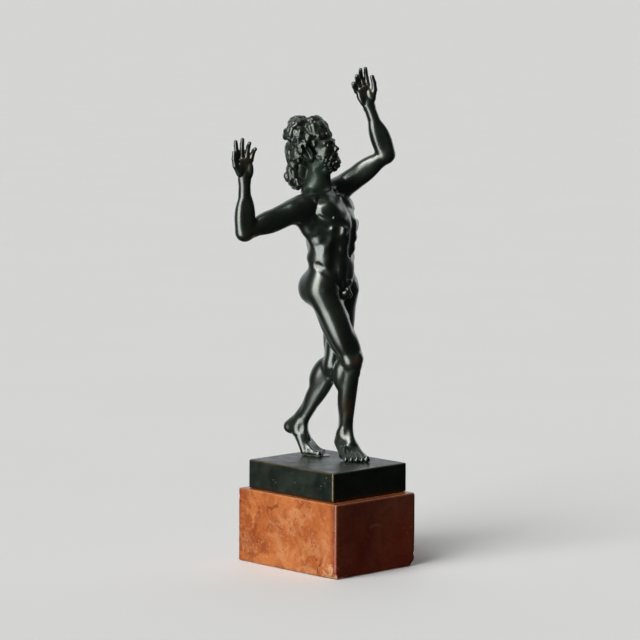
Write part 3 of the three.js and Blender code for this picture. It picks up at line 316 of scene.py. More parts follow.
def skin_of(field_at, lo, hi, cell, brick=20):
    """Quads of the surface where the field is nought, from bricks of grid cells near it."""
    lo, hi = np.asarray(lo, float), np.asarray(hi, float)
    n = np.ceil((hi - lo) / cell / brick).astype(int)
    side = brick * cell
    group = 4
    kept = []
    for gz, gy, gx in np.ndindex(*(-(-n[::-1] // group))):
        g = np.array([gx, gy, gz]) * group
        ids = g + np.stack(np.meshgrid(*[np.arange(group)] * 3, indexing="ij"), -1).reshape(-1, 3)
        ids = ids[np.all(ids < n, 1)]
        mid = (lo + (ids + 0.5) * side).astype(np.float32)
        d = field_at(mid[:, 0], mid[:, 1], mid[:, 2], lo + g * side, lo + (g + group) * side)
        kept.append(ids[np.abs(d) < side * HALF_DIAGONAL + 1.6])
    span = n * brick + 2
    strides = np.array([1, span[0], span[0] * span[1]])
    points, names, quads = [], [], []
    grid = np.stack(np.meshgrid(*[np.arange(brick + 1)] * 3, indexing="ij"), -1).astype(np.float32)
    for b in np.concatenate(kept):
        corner = lo + b * side
        at = grid * np.float32(cell) + corner.astype(np.float32)
        v = field_at(at[..., 0], at[..., 1], at[..., 2], corner, corner + side)
        v = np.where(np.abs(v) < TINY, TINY, v)
        neg = v < 0
        if not neg.any() or neg.all():
            continue
        # cells with a change of sign, and the mean of where their edges cross
        total = np.zeros((brick, brick, brick, 3), np.float32)
        count = np.zeros((brick, brick, brick), np.float32)
        base = b * brick
        for axis in range(3):
            a, c = [slice(None)] * 3, [slice(None)] * 3
            a[axis], c[axis] = slice(0, -1), slice(1, None)
            va, vb = v[tuple(a)], v[tuple(c)]
            change = (va < 0) != (vb < 0)
            t = np.where(change, va / np.where(change, va - vb, 1), 0)
            o1, o2 = (axis + 1) % 3, (axis + 2) % 3
            for i, j in np.ndindex(2, 2):
                s = [slice(None)] * 3
                s[o1], s[o2] = slice(i, brick + i), slice(j, brick + j)
                crossed = change[tuple(s)]
                total[..., axis] += np.where(crossed, t[tuple(s)], 0)
                total[..., o1] += np.where(crossed, i, 0)
                total[..., o2] += np.where(crossed, j, 0)
                count += crossed
            # one quad round each crossing edge that starts in this brick
            s = (slice(0, brick),) * 3
            edge = np.argwhere(change[s])
            if len(edge):
                flip = neg[tuple(a)][s][tuple(edge.T)]
                here = edge + base + 1
                u, w = np.eye(3, dtype=int)[[o1, o2]]
                ring = np.stack([here, here - u, here - u - w, here - w], 1) @ strides
                ring[~flip] = ring[~flip][:, ::-1]
                quads.append(ring)
        full = np.argwhere(count > 0)
        i = tuple(full.T)
        points.append((full + base + total[i] / count[i][:, None]) * cell + lo)
        names.append((full + base + 1) @ strides)
    points, names, quads = np.concatenate(points), np.concatenate(names), np.concatenate(quads)
    order = np.argsort(names)
    names, points = names[order], points[order]
    where = np.minimum(np.searchsorted(names, quads), len(names) - 1)
    return points, where[np.all(names[where] == quads, 1)]


def trunk(pelvis, thorax, neck):
    m = Mass(vec(0, 0, 0), EVERYWHERE, 1.2)
    belly = Frame(
        (pelvis.origin + thorax.origin) / 2,
        unit(pelvis.side + thorax.side),
        unit(pelvis.front + thorax.front),
        unit(pelvis.along + thorax.along),
    )
    m.eggs(pelvis, ((0, -0.3, 5, (14.6, 11.6, 10.5), 3), (0, 1.2, 14, (14.2, 12.2, 12), 4)))
    m.egg(belly, (0, 1.6, 0), (14.6, 13.2, 14), 4)
    m.eggs(thorax, (
        (0, 0.6, -17, (17.4, 14.6, 18), 4),
        (0, -1.5, -5.5, (18.5, 9.2, 9), 4),
        (0, 4.0, -4.6, (14, 8, 7.2), 4),
        (0, -6, 0.5, (10, 5.6, 9.5), 4),
    ))
    for s in (-1, 1):
        m.eggs(thorax, (
            # chest muscle and its end toward the arm
            (13.6, 5.0, -7.4, (5.6, 5.4, 6.4), 2),
            (8.6, 7.8, -8.6, (8.7, 6.1, 8.2), 1.6),
            (7.4, 8.2, -18, (7.8, 5.6, 6.5), 3),
            # front of the shoulder, shoulder blade
            (18.6, -0.6 + s * 1.6, 0.2, (5.6, 6.4, 6.6), 1.5),
            (10, -8.8, -9, (7.2, 3.8, 8.8), 3),
        ), s)
        # broad muscle of the back and its edge under the armpit
        m.bar(thorax.at(s * 11.5, -3.4, -28), 4.6, thorax.at(s * 15.6, -4.0, -11), 6.4, 3.5)
        m.bar(thorax.at(s * 16.4, -4.8, -13), 4.8, thorax.at(s * 20.6, -5.0, -4.5), 4.8, 3)
        # two cords beside the spine
        m.bar(pelvis.at(s * 3.6, -8, 6), 3.4, thorax.at(s * 3.4, -9.4, -20), 3.2, 2.5)
        m.eggs(pelvis, (
            # flank above the hip bone, the muscle below it, and the seat
            (11.2, 0.6, 17.6, (4.9, 8.8, 6.0), 4),
            (10.0, -1.4, 5.0, (6.0, 8.8, 8.4), 4.5),
            (8.2, -8.0, 0, (8.7, 8.8, 10.2), 3),
        ), s)
        # slope from neck to shoulder, and collar bone
        m.bar(neck.at(s * 2.6, -2.8, 5), 4.8, thorax.at(s * 15, -2.4, 2), 4.6, 3.5)
        m.bar(thorax.at(s * 2.6, 7.4, 0.8), 1.2, thorax.at(s * 17, 2.2, 3.6), 1.3, 3.2)
        # cord of the neck from behind the ear to the breast bone
        m.bar(thorax.at(s * 2.0, 7.2, 1.0), 1.5, neck.at(s * 5.2, 0.2, 18), 2.4, 3.5)
    # pubic mound, neck
    m.egg(pelvis, (0, 7.8, 0.5), (5.4, 3.4, 3.8), 2)
    m.string([neck.at(0, *at) for at in ((-0.6, 0), (0.2, 12), (1.5, 22))], (7.4, 6.0, 6.0), 3)
    m.egg(neck, (0, 6.0, 10.5), (1.5, 1.6, 2.4), 1.4)

    def front(f, side, up, aside=0.0):
        """A point on the skin met from in front, or from a little aside."""
        way = f.front + f.side * aside
        return m.land(f.at(side, 0, up) + way * 30, -way)[0]

    def over(rows, s=1):
        """Points on the skin by rows (frame, side, up, how far it looks aside)."""
        return [front(f, s * side, up, s * aside) for f, side, up, aside in rows]

    # finer shapes, placed on the skin before any of them is added
    laid = []
    for s in (-1, 1):
        # pads of the belly
        pads = [(belly, 3.5, 7.2 - 6.1 * i, 1.4, (4.0, 2.1, 3.4), 2) for i in range(3)]
        for f, side, up, deep, radii, k in (*pads, (pelvis, 3.2, 9.5, 1.9, (4.4, 2.4, 7.6), 1.6)):
            pad = f.moved(front(f, s * side, up) - f.front * deep)
            laid.append((egg(pad, (0, 0, 0), radii), k))
        # rib arch
        arch = (thorax, 2.0, -17.5, 0), (thorax, 7.5, -20.5, 0.2), (thorax, 12.5, -27.5, 0.7)
        a, b, c = over(arch, s)
        b = b - thorax.front * 2.0
        laid.append((cone(a - thorax.front * 1.8, 1.8, b, 2.2), 3.2))
        laid.append((cone(b, 2.2, c - thorax.front * 1.9, 2.2), 3.2))
        # slips of the rib muscle
        inward = -unit(thorax.front * 0.5 + thorax.side * s)
        for i in range(3):
            ends = (thorax, 15.4, -10.5 - 5.6 * i, 2.6), (thorax, 10.4, -17.0 - 5.4 * i, 0.6)
            a, b = over(ends, s)
            laid.append((cone(a + inward * 2.6, 2.8, b + inward * 1.9, 1.9), 2.6))
    for shape, k in laid:
        m.add(shape, k)
    # grooves, each along a line over the skin
    grooves = []

    def groove(line, off, wide, k):
        grooves.extend((cone(a + off, wide, b + off, wide), k) for a, b in zip(line, line[1:]))

    for s in (-1, 1):
        # fold under the chest muscle
        fold = ((2.6, -15.0, 0), (8.0, -17.4, 0.1), (14.0, -14.6, 0.6), (17.0, -9.0, 1.4))
        groove(over([(thorax, *at) for at in fold], s), thorax.front * 1.8, 1.7, 2.2)
        # side line of the belly
        edge = (belly, 7.6, 9, 0.35), (belly, 7.8, -3, 0.4), (pelvis, 7.8, 11, 0.45)
        groove(over(edge, s), belly.front * 2.4, 2.4, 2.6)
        # hip bone line round the side, running into the groin
        hip = ((14.5, 12.4, 1.6), (11.4, 8.4, 0.7), (8.6, 3.6, 0.4), (5.0, 0.0, 0.1))
        line = over([(pelvis, *at) for at in hip], s)
        for i, (t, rise) in enumerate(((1.0, 2.0), (0.5, 2.3), (0.2, 2.2))):
            off = unit(pelvis.front + pelvis.side * s * t) * rise
            groove(line[i : i + 2], off, 1.8, 2.4)
    middle = (thorax, 0, -4, 0), (thorax, 0, -15, 0), (belly, 0, 3, 0), (belly, 0, -8, 0)
    groove(over(middle), thorax.front * 2.2, 2.2, 2.4)
    spine = ((pelvis, 9), (belly, -4), (thorax, -18), (thorax, -8))
    spine = [m.land(f.at(0, -30, u), f.front)[0] for f, u in spine]
    groove(spine, thorax.front * -1.5, 2.2, 3)
    for shape, k in grooves:
        m.cut(shape, k)
    m.cut(cone(pelvis.at(0, -15.8, 2.5), 1.4, pelvis.at(0, -14.4, -9), 1.5), 1.6)
    # navel, hollow between the collar bones, nipples
    m.cut(egg(belly.moved(front(belly, 0, -9.6)), (0, 0, 0), (0.8, 1.1, 1.2)), 0.7)
    m.cut(egg(thorax, (0, 9.9, 2.6), (1.5, 1.3, 1.6)), 2.4)
    for s in (-1, 1):
        nipple = thorax.moved(front(thorax, s * 10.6, -12, 0.35 * s))
        m.egg(nipple, (0, -0.25, 0), (0.9, 0.4, 0.9), 0.8)
    # hair of the groin in small curls, and the sex
    for row, count in enumerate((6, 5, 4)):
        for i in range(count):
            x = (i - (count - 1) / 2) * 1.55
            tuft = pelvis.moved(front(pelvis, x, 3.6 - 1.5 * row - 0.06 * x * x))
            m.egg(tuft, (0, -0.1, 0), (0.95, 0.7, 0.95), 0.8)
    for s in (-1, 1):
        m.egg(pelvis, (1.35 * s, 11.0, -4.6 - 0.2 * s), (1.75, 2, 2.5), 0.5)
    m.bar(pelvis.at(0, 11.6, -1.2), 1.25, pelvis.at(0.2, 13.2, -5.0), 1.1, 0.5)
    return m


def leg(hip, knee, foot, facing, outward):
    m = Mass(hip, 15, 4)
    t = bone(hip, knee, facing, outward)
    s = bone(knee, foot.ankle, facing, outward)
    m.bar(t.at(1, 0, 1), 9.2, t.share(1), 5.8, 3)
    m.mounds(t, (
        (0.42, 0.8, 3.6, (5.8, 5.2, 19.5), 2.2),
        (0.5, 4.4, 0.8, (4.8, 6, 20), 2),
        (0.78, -3.1, 2.4, (3.9, 4.4, 10.5), 2.6),
        (0.26, -3.8, -1.2, (5.4, 7, 15.5), 3),
        (0.5, 2.8, -4.4, (4.2, 4.7, 20.5), 1.6),
        (0.48, -2.5, -4.4, (4.2, 4.7, 19.5), 1.6),
        (0.06, 1.2, 0, (6.6, 8.2, 12), 4),
    ))
    # the long strap muscle that crosses the thigh
    m.bar(t.share(0.04, 5.4, 6.2), 1.5, t.share(0.45, -3.6, 5.6), 1.3, 2.2)
    # knee: cap, both ends of the thigh bone, cord below the cap, soft pads beside it
    m.mounds(s, ((-0.03, 0, 4.4, (3.3, 2.5, 4.0), 2.2),))
    m.eggs(s, ((3.2, 0, 0, (3.4, 4.8, 4.8), 2.4), (-3.3, 0, 0, (3.4, 4.8, 5.0), 2.4)))
    m.bar(s.at(0, 4.6, 3), 1.7, s.at(0, 4.0, 8), 1.9, 2)
    for side in (-1, 1):
        m.egg(s, (2.1 * side, 3.8, 3.8), (1.6, 1.5, 2.2), 1.8)
        # cords behind the knee
        m.bar(t.share(0.8, 3.6 * side, -3.4), 1.2, s.at(3.8 * side, -3, 4), 1.1, 1.4)
    # shank and calf
    m.bar(s.at(0, 0, 2), 4.9, s.share(1, 0, 0.2), 3.6, 2.5)
    m.mounds(s, (
        (0.23, -2.6, -4.9, (4.8, 5.8, 11.5), 1.8),
        (0.2, 2.9, -4.5, (4.5, 5.4, 10.8), 1.8),
        (0.47, 0, -2.2, (5.3, 4.3, 14.5), 2.2),
        (0.32, 1.8, 1.3, (3.0, 3.2, 15.5), 1.8),
        (0.36, 3.2, -0.4, (2.4, 2.9, 14), 1.6),
    ))
    m.bar(s.at(-1, 3.6, 8), 1.4, s.at(-0.6, 2.6, 40), 1.3, 1.8)
    # foot: cord above the heel, heel, ankle bones, arch
    heel = foot.at(0, -BALL_TO_HEEL + 1.2, 1.6)
    high = foot.at(0, -BALL_TO_HEEL + 1.0, 5.2)
    m.bar(s.share(0.6, 0, -3.2), 2.2, high, 2.5, 2.4)
    m.bar(high, 2.8, heel, 3.5, 2.4)
    m.bar(heel, 3.5, foot.at(0, -BALL_TO_HEEL + 6, 3.5), 3.9, 2.4)
    for side, front, up in ((2.6, -0.3, 0.6), (-2.5, 0.4, 1.6)):
        m.egg(s, (side, front, s.length - up), (1.9, 3.2, 4.2), 3.4)
    m.bar(foot.ankle, 4.3, foot.at(-1, -7, 3.9), 3.8, 2.4)
    m.bar(foot.at(3, -15, 1.6), 3.0, foot.at(4.2, -3, 0.6), 2.5, 2)
    m.bar(foot.at(-2, -12, 3.8), 3.1, foot.at(-3.0, -2, 1.0), 2.9, 2)
    # front cord of the ankle
    m.bar(s.share(0.84, -0.6, 2.2), 1.4, foot.at(-2.2, -7, 4.9), 1.4, 2.6)
    toes(m, foot)
    return m


def toes(m, foot):
    """Five toes from the big one, with knuckles, cords and nails."""
    level = foot.level
    for i in range(5):
        side = -5.2 + 2.6 * i
        if i:
            back, thick, tall, bow, long, wide = 0.36 * (i - 1), 2.2, 1.5, 1.2, 9.6, 1.1
        else:
            back, thick, tall, bow, long, wide = 0.2, 2.7, 2.0, 0.5, 10.4, 1.55
        knuckle = foot.at(side, -back * 1.6, 0.2)
        m.bar(foot.at(side * 0.5 - 0.6, -9, 3.4 - 0.35 * i), 2.9, knuckle, thick, 1.1)
        m.bar(foot.at(side * 0.45 - 0.4, -8, 5.2 - 0.5 * i), 0.8, foot.at(side, -1, 1.9), 0.6, 1.6)
        far = foot.origin + foot.side * side * 1.14 + level * (long - 3.2 * back)
        bent = (knuckle + far) / 2
        bent[2] = GROUND + tall + bow
        far[2] = GROUND + tall * 0.85
        m.bar(knuckle, thick * 0.8, bent, tall * 0.92, 0.5)
        m.bar(foot.at(side * 0.7, -5, 3.0), 1.9, bent + vec(0, 0, 0.3), tall * 0.8, 1)
        m.bar(bent, tall * 0.92, far, tall, 0.3)
        nail = Frame(far + vec(0, 0, tall * 0.86) + level * 0.1, foot.side, level, UP)
        m.egg(nail, (0, 0, 0), (wide * 0.85, wide * 0.9, 0.34), 0.12)


def arm(shoulder, elbow, wrist, out, palm, reach, thumb_side, curls):
    m = Mass(shoulder, 13, 4.5)
    back = unit(elbow - (shoulder + wrist) / 2)
    u = bone(shoulder, elbow, -back, out)
    f = bone(elbow, wrist, palm, out)
    m.mounds(u, ((0.1, 0, 0, (7.4, 7.4, 11), 2.5),))
    m.bar(u.at(0, 0, 4), 6.2, u.share(1), 4.8, 2)
    m.mounds(u, (
        (0.55, 0, 2.6, (4.5, 4.1, 12), 1.5),
        (0.46, 1.6, -2.9, (3.8, 3.9, 12.5), 1.4),
        (0.52, -1.8, -2.9, (3.6, 3.8, 12.5), 1.4),
        (0.3, 0, 0, (5.2, 6.6, 9), 1.6),
    ))
    m.egg(f, (0, 0, 0), (4.7, 4.3, 4.5), 1.8)
    m.bar(elbow - f.along * 0.5, 2.6, elbow + back * 2.2 - f.along * 0.2, 1.9, 1)
    m.bar(elbow, 4.7, f.share(1), 3.3, 2)
    m.mounds(f, (
        (0.26, 2.3, 0.9, (4.0, 4.2, 11.5), 1.8),
        (0.3, -2.1, 0.4, (4.1, 4.3, 12), 1.8),
        (0.34, 0.2, -2, (3.2, 2.6, 12.5), 1.4),
    ))
    along = unit(reach)
    face = square(palm, along)
    h = Frame(wrist, np.cross(along, face) * thumb_side, face, along)
    grown = (wrist, HAND / HAND_DRAWN)
    m.grow = grown
    m.egg(h, (0, 0, -0.5), (3.3, 2.5, 4.4), 1.5)
    # wrist bone and the two cords on the palm side
    m.grow = None
    m.egg(h, (-2.4, -1.6, -2.4), (1.3, 1.2, 1.5), 0.8)
    for s in (-0.7, 0.8):
        m.bar(h.at(s, 1.9, -8), 0.5, h.at(s * 0.8, 1.9, 0.5), 0.5, 0.7)
    m.grow = grown
    m.eggs(h, (
        (0, -0.1, 5.2, (4.6, 1.75, 5.3), 1.4),
        (2.8, 1.2, 3.9, (2.0, 1.6, 3.8), 0.8),
        (-2.8, 0.9, 3.9, (1.7, 1.4, 4.2), 0.8),
        (0.2, 0.9, 8.6, (3.9, 1.1, 1.5), 0.8),
    ))
    m.cut(cone(h.at(1.5, 3.2, 1.5), 0.3, h.at(0.4, 2.6, 8), 0.3), 0.9)
    for i, (share, curl_by, spread) in enumerate(zip(FINGERS, curls, SPREAD)):
        side = 3.6 - 2.35 * i
        at = h.at(side, -0.3, 9.8 - 0.5 * abs(i - 1))
        m.bar(h.at(side * 0.6, -1.2, 2.5), 0.6, at - face * 0.8, 0.8, 0.8)
        for j, part in enumerate((0.45, 0.3, 0.25)):
            dip = curl_by * (j + 0.6)
            way = along * cos(dip) + h.side * spread + face * sin(dip)
            to = at + way * (HAND_DRAWN * share * part)
            m.bar(at, 1.34 - 0.1 * j, to, 1.22 - 0.12 * j, 0.25 if j else 0.6)
            m.egg(h.moved(at), (0, -0.25, 0), (1.32 - 0.1 * j, 1.25 - 0.1 * j, 1.2), 0.4)
            if j == 2:
                finger_nail(m, to, unit(to - at), -face, 0.82, -0.3, (0.72, 1.0, 0.26))
            at = to
    thumb = [h.at(*at) for at in ((3, 1, 2.4), (5.4, 2, 6.2), (6.3, 2.7, 9.8), (6.3, 3.2, 12.8))]
    for j, (a, b) in enumerate(zip(thumb, thumb[1:])):
        m.bar(a, 1.75 - 0.2 * j, b, 1.5 - 0.17 * j, 0.35 if j else 0.6)
    finger_nail(m, thumb[3], unit(thumb[3] - thumb[2]), h.side, 0.9, -0.2, (0.85, 1.15, 0.3))
    m.grow = None
    return m


def finger_nail(m, tip, way, outer, rise, along, radii):
    up = square(outer, way)
    nail = Frame(tip + way * along + up * rise, np.cross(up, way), way, up)
    m.egg(nail, (0, 0, 0), radii, 0.1)


def foot_frame(ball_at, turn, pitch, outer):
    level = heading(turn)
    across = unit(np.cross(UP, level)) * outer
    f = Frame(vec(*ball_at, GROUND + SOLE), across, heading(turn, -pitch), heading(turn, 90 - pitch))
    f.level = level
    f.ankle = f.at(0, -BALL_TO_ANKLE, ANKLE_HEIGHT)
    return f


def head(h):
    m = Mass(h.at(0, -2, -8), 9, 2.5)
    m.eggs(h, (
        (0, -2, 3.6, (8.4, 10.2, 8.9), 2),
        # face: cheeks and jaw, chin, brow
        (0, 3.2, -3.2, (6.5, 6.2, 8.6), 3),
        (0, 4.2, -9.0, (4, 4.4, 3.6), 2),
        (0, 6.2, 2.6, (5.6, 2.6, 1.6), 2),
    ))
    for s in (-1, 1):
        m.eggs(h, ((4.2, 5.7, -2.3, (2.2, 2.1, 1.7), 1.6), (5.2, 1.5, -7, (2.2, 4.6, 3.6), 2)), s)
        # socket, eye, brow and lids
        m.cut(egg(h, (3.15 * s, 9.7, 0.1), (1.9, 1.9, 1.2)), 1.3)
        m.egg(h, (3.1 * s, 6.75, 0.1), (1.6, 1.55, 1.35), 0.3)
        brow = ((1.0, 8.9, 1.9), (3.4, 8.5, 2.5), (5.6, 6.6, 1.5))
        m.string([h.at(x * s, y, z) for x, y, z in brow], (0.6, 0.7, 0.5), 0.9)
        for i in range(4):
            for up, size, high in ((1, 0.46, 0.95), (-1, 0.4, 0.8)):
                lid = []
                for a in (radians(20 + 35 * (i + j)) for j in (0, 1)):
                    c, d = cos(a), sin(a)
                    lid.append(h.at(s * (3.1 + 1.65 * c), 7.55 + 0.65 * d, 0.1 + up * high * d))
                m.string(lid, (size, size), 0.5)
        # wing of the nose and fold beside it
        m.egg(h, (1.1 * s, 9.6, -3.7), (0.85, 1.1, 0.8), 0.5)
        m.cut(cone(h.at(2.0 * s, 9.9, -3.3), 0.3, h.at(3.1 * s, 8.9, -5.8), 0.3), 1.0)
    m.bar(h.at(0, 7.9, 1.6), 1.0, h.at(0, 10.2, -2.9), 1.35, 1.2)
    m.egg(h, (0, 10.9, -3.3), (1.05, 1.1, 0.95), 0.6)
    # lips
    for s in (-1, 1):
        m.bar(h.at(0.35 * s, 9.5, -6.2), 0.5, h.at(1.9 * s, 8.7, -6.5), 0.3, 0.35)
        m.bar(h.at(0, 9.3, -7.3), 0.6, h.at(1.7 * s, 8.7, -7.0), 0.35, 0.35)
    m.cut(cone(h.at(-1.7, 9.6, -6.75), 0.14, h.at(1.7, 9.6, -6.75), 0.14), 0.3)
    for shape, k in hair(m, h) + beard(m, h):
        m.add(shape, k)
    ears(m, h)
    return m


def ears(m, h):
    """Long pointed ears: a folded leaf, smooth outside, with its hollow toward the face."""
    front_rim, back_rim = 0.7, 1.05
    for s in (-1, 1):
        root, tip = h.at(8.4 * s, -3.4, -7.0), h.at(13.6 * s, -6.0, 8.2)
        along = unit(tip - root)
        face = square(h.side * s + h.front * 0.12, along)
        wide = np.cross(along, face)
        if wide @ h.front < 0:
            wide = -wide
        e = Frame((root + tip) / 2, face, wide, along)
        m.egg(e, (-0.3, -0.1, -1.4), (1.6, 3.4, 6.6), 0.6)
        m.bar(e.at(0.0, -0.2, 1.5), 1.7, tip, 0.45, 0.8)
        for side, thick in ((1, front_rim), (-1, back_rim)):
            rim = ((0.0, 1.4 * side, -6.4), (0.6, 3.3 * side, -2.4), (0.7, 2.7 * side, 2.2), (0.1, 0.2, 7.8))
            rim = smooth([e.at(*at) for at in rim], 9)
            m.string(rim, [thick - 0.03 * i for i in range(len(rim))], 0.5)
        m.cut(egg(e, (1.5, 0.75, -0.8), (2.2, 1.5, 4.9)), 0.4)


def smooth(points, steps):
    """A smooth curve through points (Catmull-Rom) in a number of steps."""
    p = np.array(points, float)
    n = len(p)
    out = []
    for x in np.linspace(0, n - 1, steps + 1):
        j = min(int(x), n - 2)
        u = x - j
        p0, p1, p2, p3 = (p[min(max(j + e, 0), n - 1)] for e in (-1, 0, 1, 2))
        bent = 2 * p0 - 5 * p1 + 4 * p2 - p3 + u * (3 * (p1 - p2) + p3 - p0)
        out.append(p1 + 0.5 * u * (p2 - p0 + u * bent))
    return np.array(out)


def tress(line, out, width, k=0.7, strands=3, tip=0.3):
    """Shapes of a lock of hair: strands side by side along a line, the middle one highest."""
    steps = len(line) - 1
    made = []
    for i in range(strands):
        x = i - (strands - 1) / 2
        last = None
        for j in range(steps + 1):
            t = j / steps
            along = unit(line[min(j + 1, steps)] - line[max(j - 1, 0)])
            up = square(out[j], along)
            full = width * (min(1, 0.55 + 1.8 * t) - (1 - tip) * max(0, (t - 0.55) / 0.45) ** 2)
            spread = np.cross(along, up) * (x * full * 1.05)
            here = (line[j] + spread - up * (abs(x) * full * 0.45), max(full * 0.66, 0.3))
            if last:
                made.append((cone(*last, *here), k))
            last = here
    return made


def swirl(line, out, size, hand, turns=0.9):
    """The line with a small curl added at its end, in the plane of the skin."""
    way = unit(line[-1] - line[-2])
    side = np.cross(out[-1], way) * hand
    centre = line[-1] + side * size
    add = []
    for j in range(1, 8):
        t = j / 7
        a = turns * 2 * pi * t
        r = size * (1 - 0.75 * t)
        add.append(centre - side * (r * cos(a)) + way * (r * sin(a)) + out[-1] * (0.5 * size * t))
    return np.vstack([line, add]), np.vstack([out, np.repeat(out[-1:], 7, 0)])


def hair(m, h):
    rng = np.random.default_rng(HAIR_SEED)
    back = square(-h.front, UP)
    # cap, the fuller back of the head, and the mass that hangs over the nape
    m.egg(h, (0, -3.8, 5.0), (8.6, 9.8, 9.2), 1)
    m.egg(h, (0, -10.9, 2.2), (8.2, 7.8, 8.7), 2)
    nape = h.at(0, -12.6, -3)
    low = nape - UP * 13.5 + back * 1.6
    m.string((nape, nape - UP * 8 + back * 1.7, low), (6.5, 5.6, 3.8), 2)
    # raised roll across the crown
    roll = [radians(-64 + 128 / 6 * i) for i in range(7)]
    roll = [h.at(8.2 * sin(a), -8.6 - 1.2 * cos(a), 5.0 + 12.8 * cos(a)) for a in roll]
    m.string(roll, [3.6] * 7, 1.2)
    root = h.at(0, -3, 1.5)
    made = []

    def lock(places, steps, width, raised=0.0, lift=0.3, curl=()):
        """A lock over the hair mass through places (around from the face, high) in degrees."""
        way = np.array([h.toward(*place) for place in places])
        path = m.land(root + way * 30, -way, lift) + way * np.reshape(raised, (-1, 1))
        line, out = smooth(path, steps), smooth(way, steps)
        if curl:
            line, out = swirl(line, out, *curl)
        made.extend(tress(line, out, width))

    # tufts over the brow: they rise, lean aside and end in curls
    for i in range(7):
        a = -60 + 20 * i + rng.uniform(-3, 3)
        hand = 1 if i % 2 else -1
        rise = 36 + 2 * hand
        places = (
            (a * 0.9, rise),
            (a * 0.9 - 4 * hand, rise + 9),
            (a * 0.85 - 2 * hand, rise + 19),
            (a * 0.8 + 4 * hand, rise + 26),
        )
        lock(places, 9, 1.85, (0.2, 1.8, 3.3, 3.9 + 0.6 * hand), curl=(2.0, hand))
    # small locks that fall between them on the forehead
    for i in range(6):
        a = 0.9 * (-50 + 20 * i + rng.uniform(-3, 3))
        hand = -1 if i % 2 else 1
        places = ((a, 50), (a + 4 * hand, 42), (a + 1 * hand, 34), (a + 5 * hand, 28))
        lock(places, 6, 0.95, (2.0, 2.2, 1.2, 0.5), curl=(0.8, -hand))
    # waved locks combed over the roll to the back
    for i in range(6):
        a = -80 + 32 * i
        turn = (180 - abs(a)) * (1 if a >= 0 else -1)
        w = 7 if i % 2 else -7
        over = ((a * 0.9, 52), (a + w * 0.6, 65), (a + w, 79))
        down = ((turn * 0.97 - w, 76), (turn + w, 60), (turn * 0.98 - w, 44))
        lock(over + down, 14, 3.0, lift=0.45)
    # locks swept back along the sides of the crown
    for s in (-1, 1):
        for i in range(2):
            b = 60 - 15 * i
            places = ((58 + 6 * i, b - 8), (82 + 4 * i, b + 1), (108 + 4 * i, b - 4), (134 + 3 * i, b - 16))
            lock([(s * a, b) for a, b in places], 9, 2.7, lift=0.4, curl=(2.3, s, 0.8))
    # rows of waved locks round the sides and the back
    for row, (first, count, high, drop) in enumerate(((106, 5, 54, 28), (128, 4, 28, 30), (130, 4, 0, 28))):
        for i in range(count):
            a = first + (360 - 2 * first) * i / (count - 1) + rng.uniform(-3, 3)
            hand = 1 if (i + row) % 2 else -1
            wave = ((0, -4), (8, drop * 0.3), (-6.4, drop * 0.65), (4.8, drop))
            places = [(a + w * hand, high - down) for w, down in wave]
            lock(places, 10, 2.9, (0.0, 0.6, 0.8, 1.1), curl=(2.6, -hand, 0.8))
    # long waved locks over the nape to the shoulders
    for layer, (count, wide, reach) in enumerate(((4, 1.0, 0.82), (3, 0.9, 1))):
        for i in range(count):
            hand = 1 if (i + layer) % 2 else -1
            way = unit(back + h.side * (-1 + 2 * i / (count - 1)) * 1.15)
            path = []
            for j in range(6):
                t = j / 5 * reach
                swing = h.side * (hand * sin(j * 1.9)) * (0.4 + 0.6 * t)
                path.append((nape + back * 1.2 * min(2 * t, 1)) * (1 - t) + low * t + swing)
            way = np.array([way] * 6)
            path = m.land(np.array(path) + way * 20, -way, 0.35 + 0.3 * (1 - layer))
            made += tress(*swirl(smooth(path, 9), smooth(way, 9), 2.1, hand, 0.8), 2.6 * wide)
    # short locks before the ears
    for s in (-1, 1):
        for i in range(2):
            places = ((60 + 14 * i, 40), (66 + 14 * i, 28), (60 + 14 * i, 14), (66 + 12 * i, 2))
            lock([(s * a, b) for a, b in places], 5, 0.75)
    # blunt horns among the tufts
    for s in (-1, 1):
        m.bar(h.at(3.4 * s, 5.0, 10.0), 1.6, h.at(4.0 * s, 6.0, 12.8), 1.3, 0.6)
        m.bar(h.at(4.0 * s, 6.0, 12.8), 1.3, h.at(4.3 * s, 5.8, 14.4), 0.9, 0.4)
    return made


def curl(centre, out, size, turns, start, k=0.18, steps=8):
    """Shapes of a small curl: a bar wound in a shrinking spiral that rises at its middle."""
    e1 = square(vec(0.3, 0.2, 1), out)
    e2 = np.cross(out, e1)
    last = None
    made = []
    for j in range(steps + 1):
        t = j / steps
        a = start + turns * 2 * pi * t
        spoke = (e1 * cos(a) + e2 * sin(a)) * size * (1 - 0.85 * t)
        here = (centre + spoke + out * (0.55 * size * t), size * (0.4 - 0.06 * t))
        if last:
            made.append((cone(*last, *here), k))
        last = here
    return made


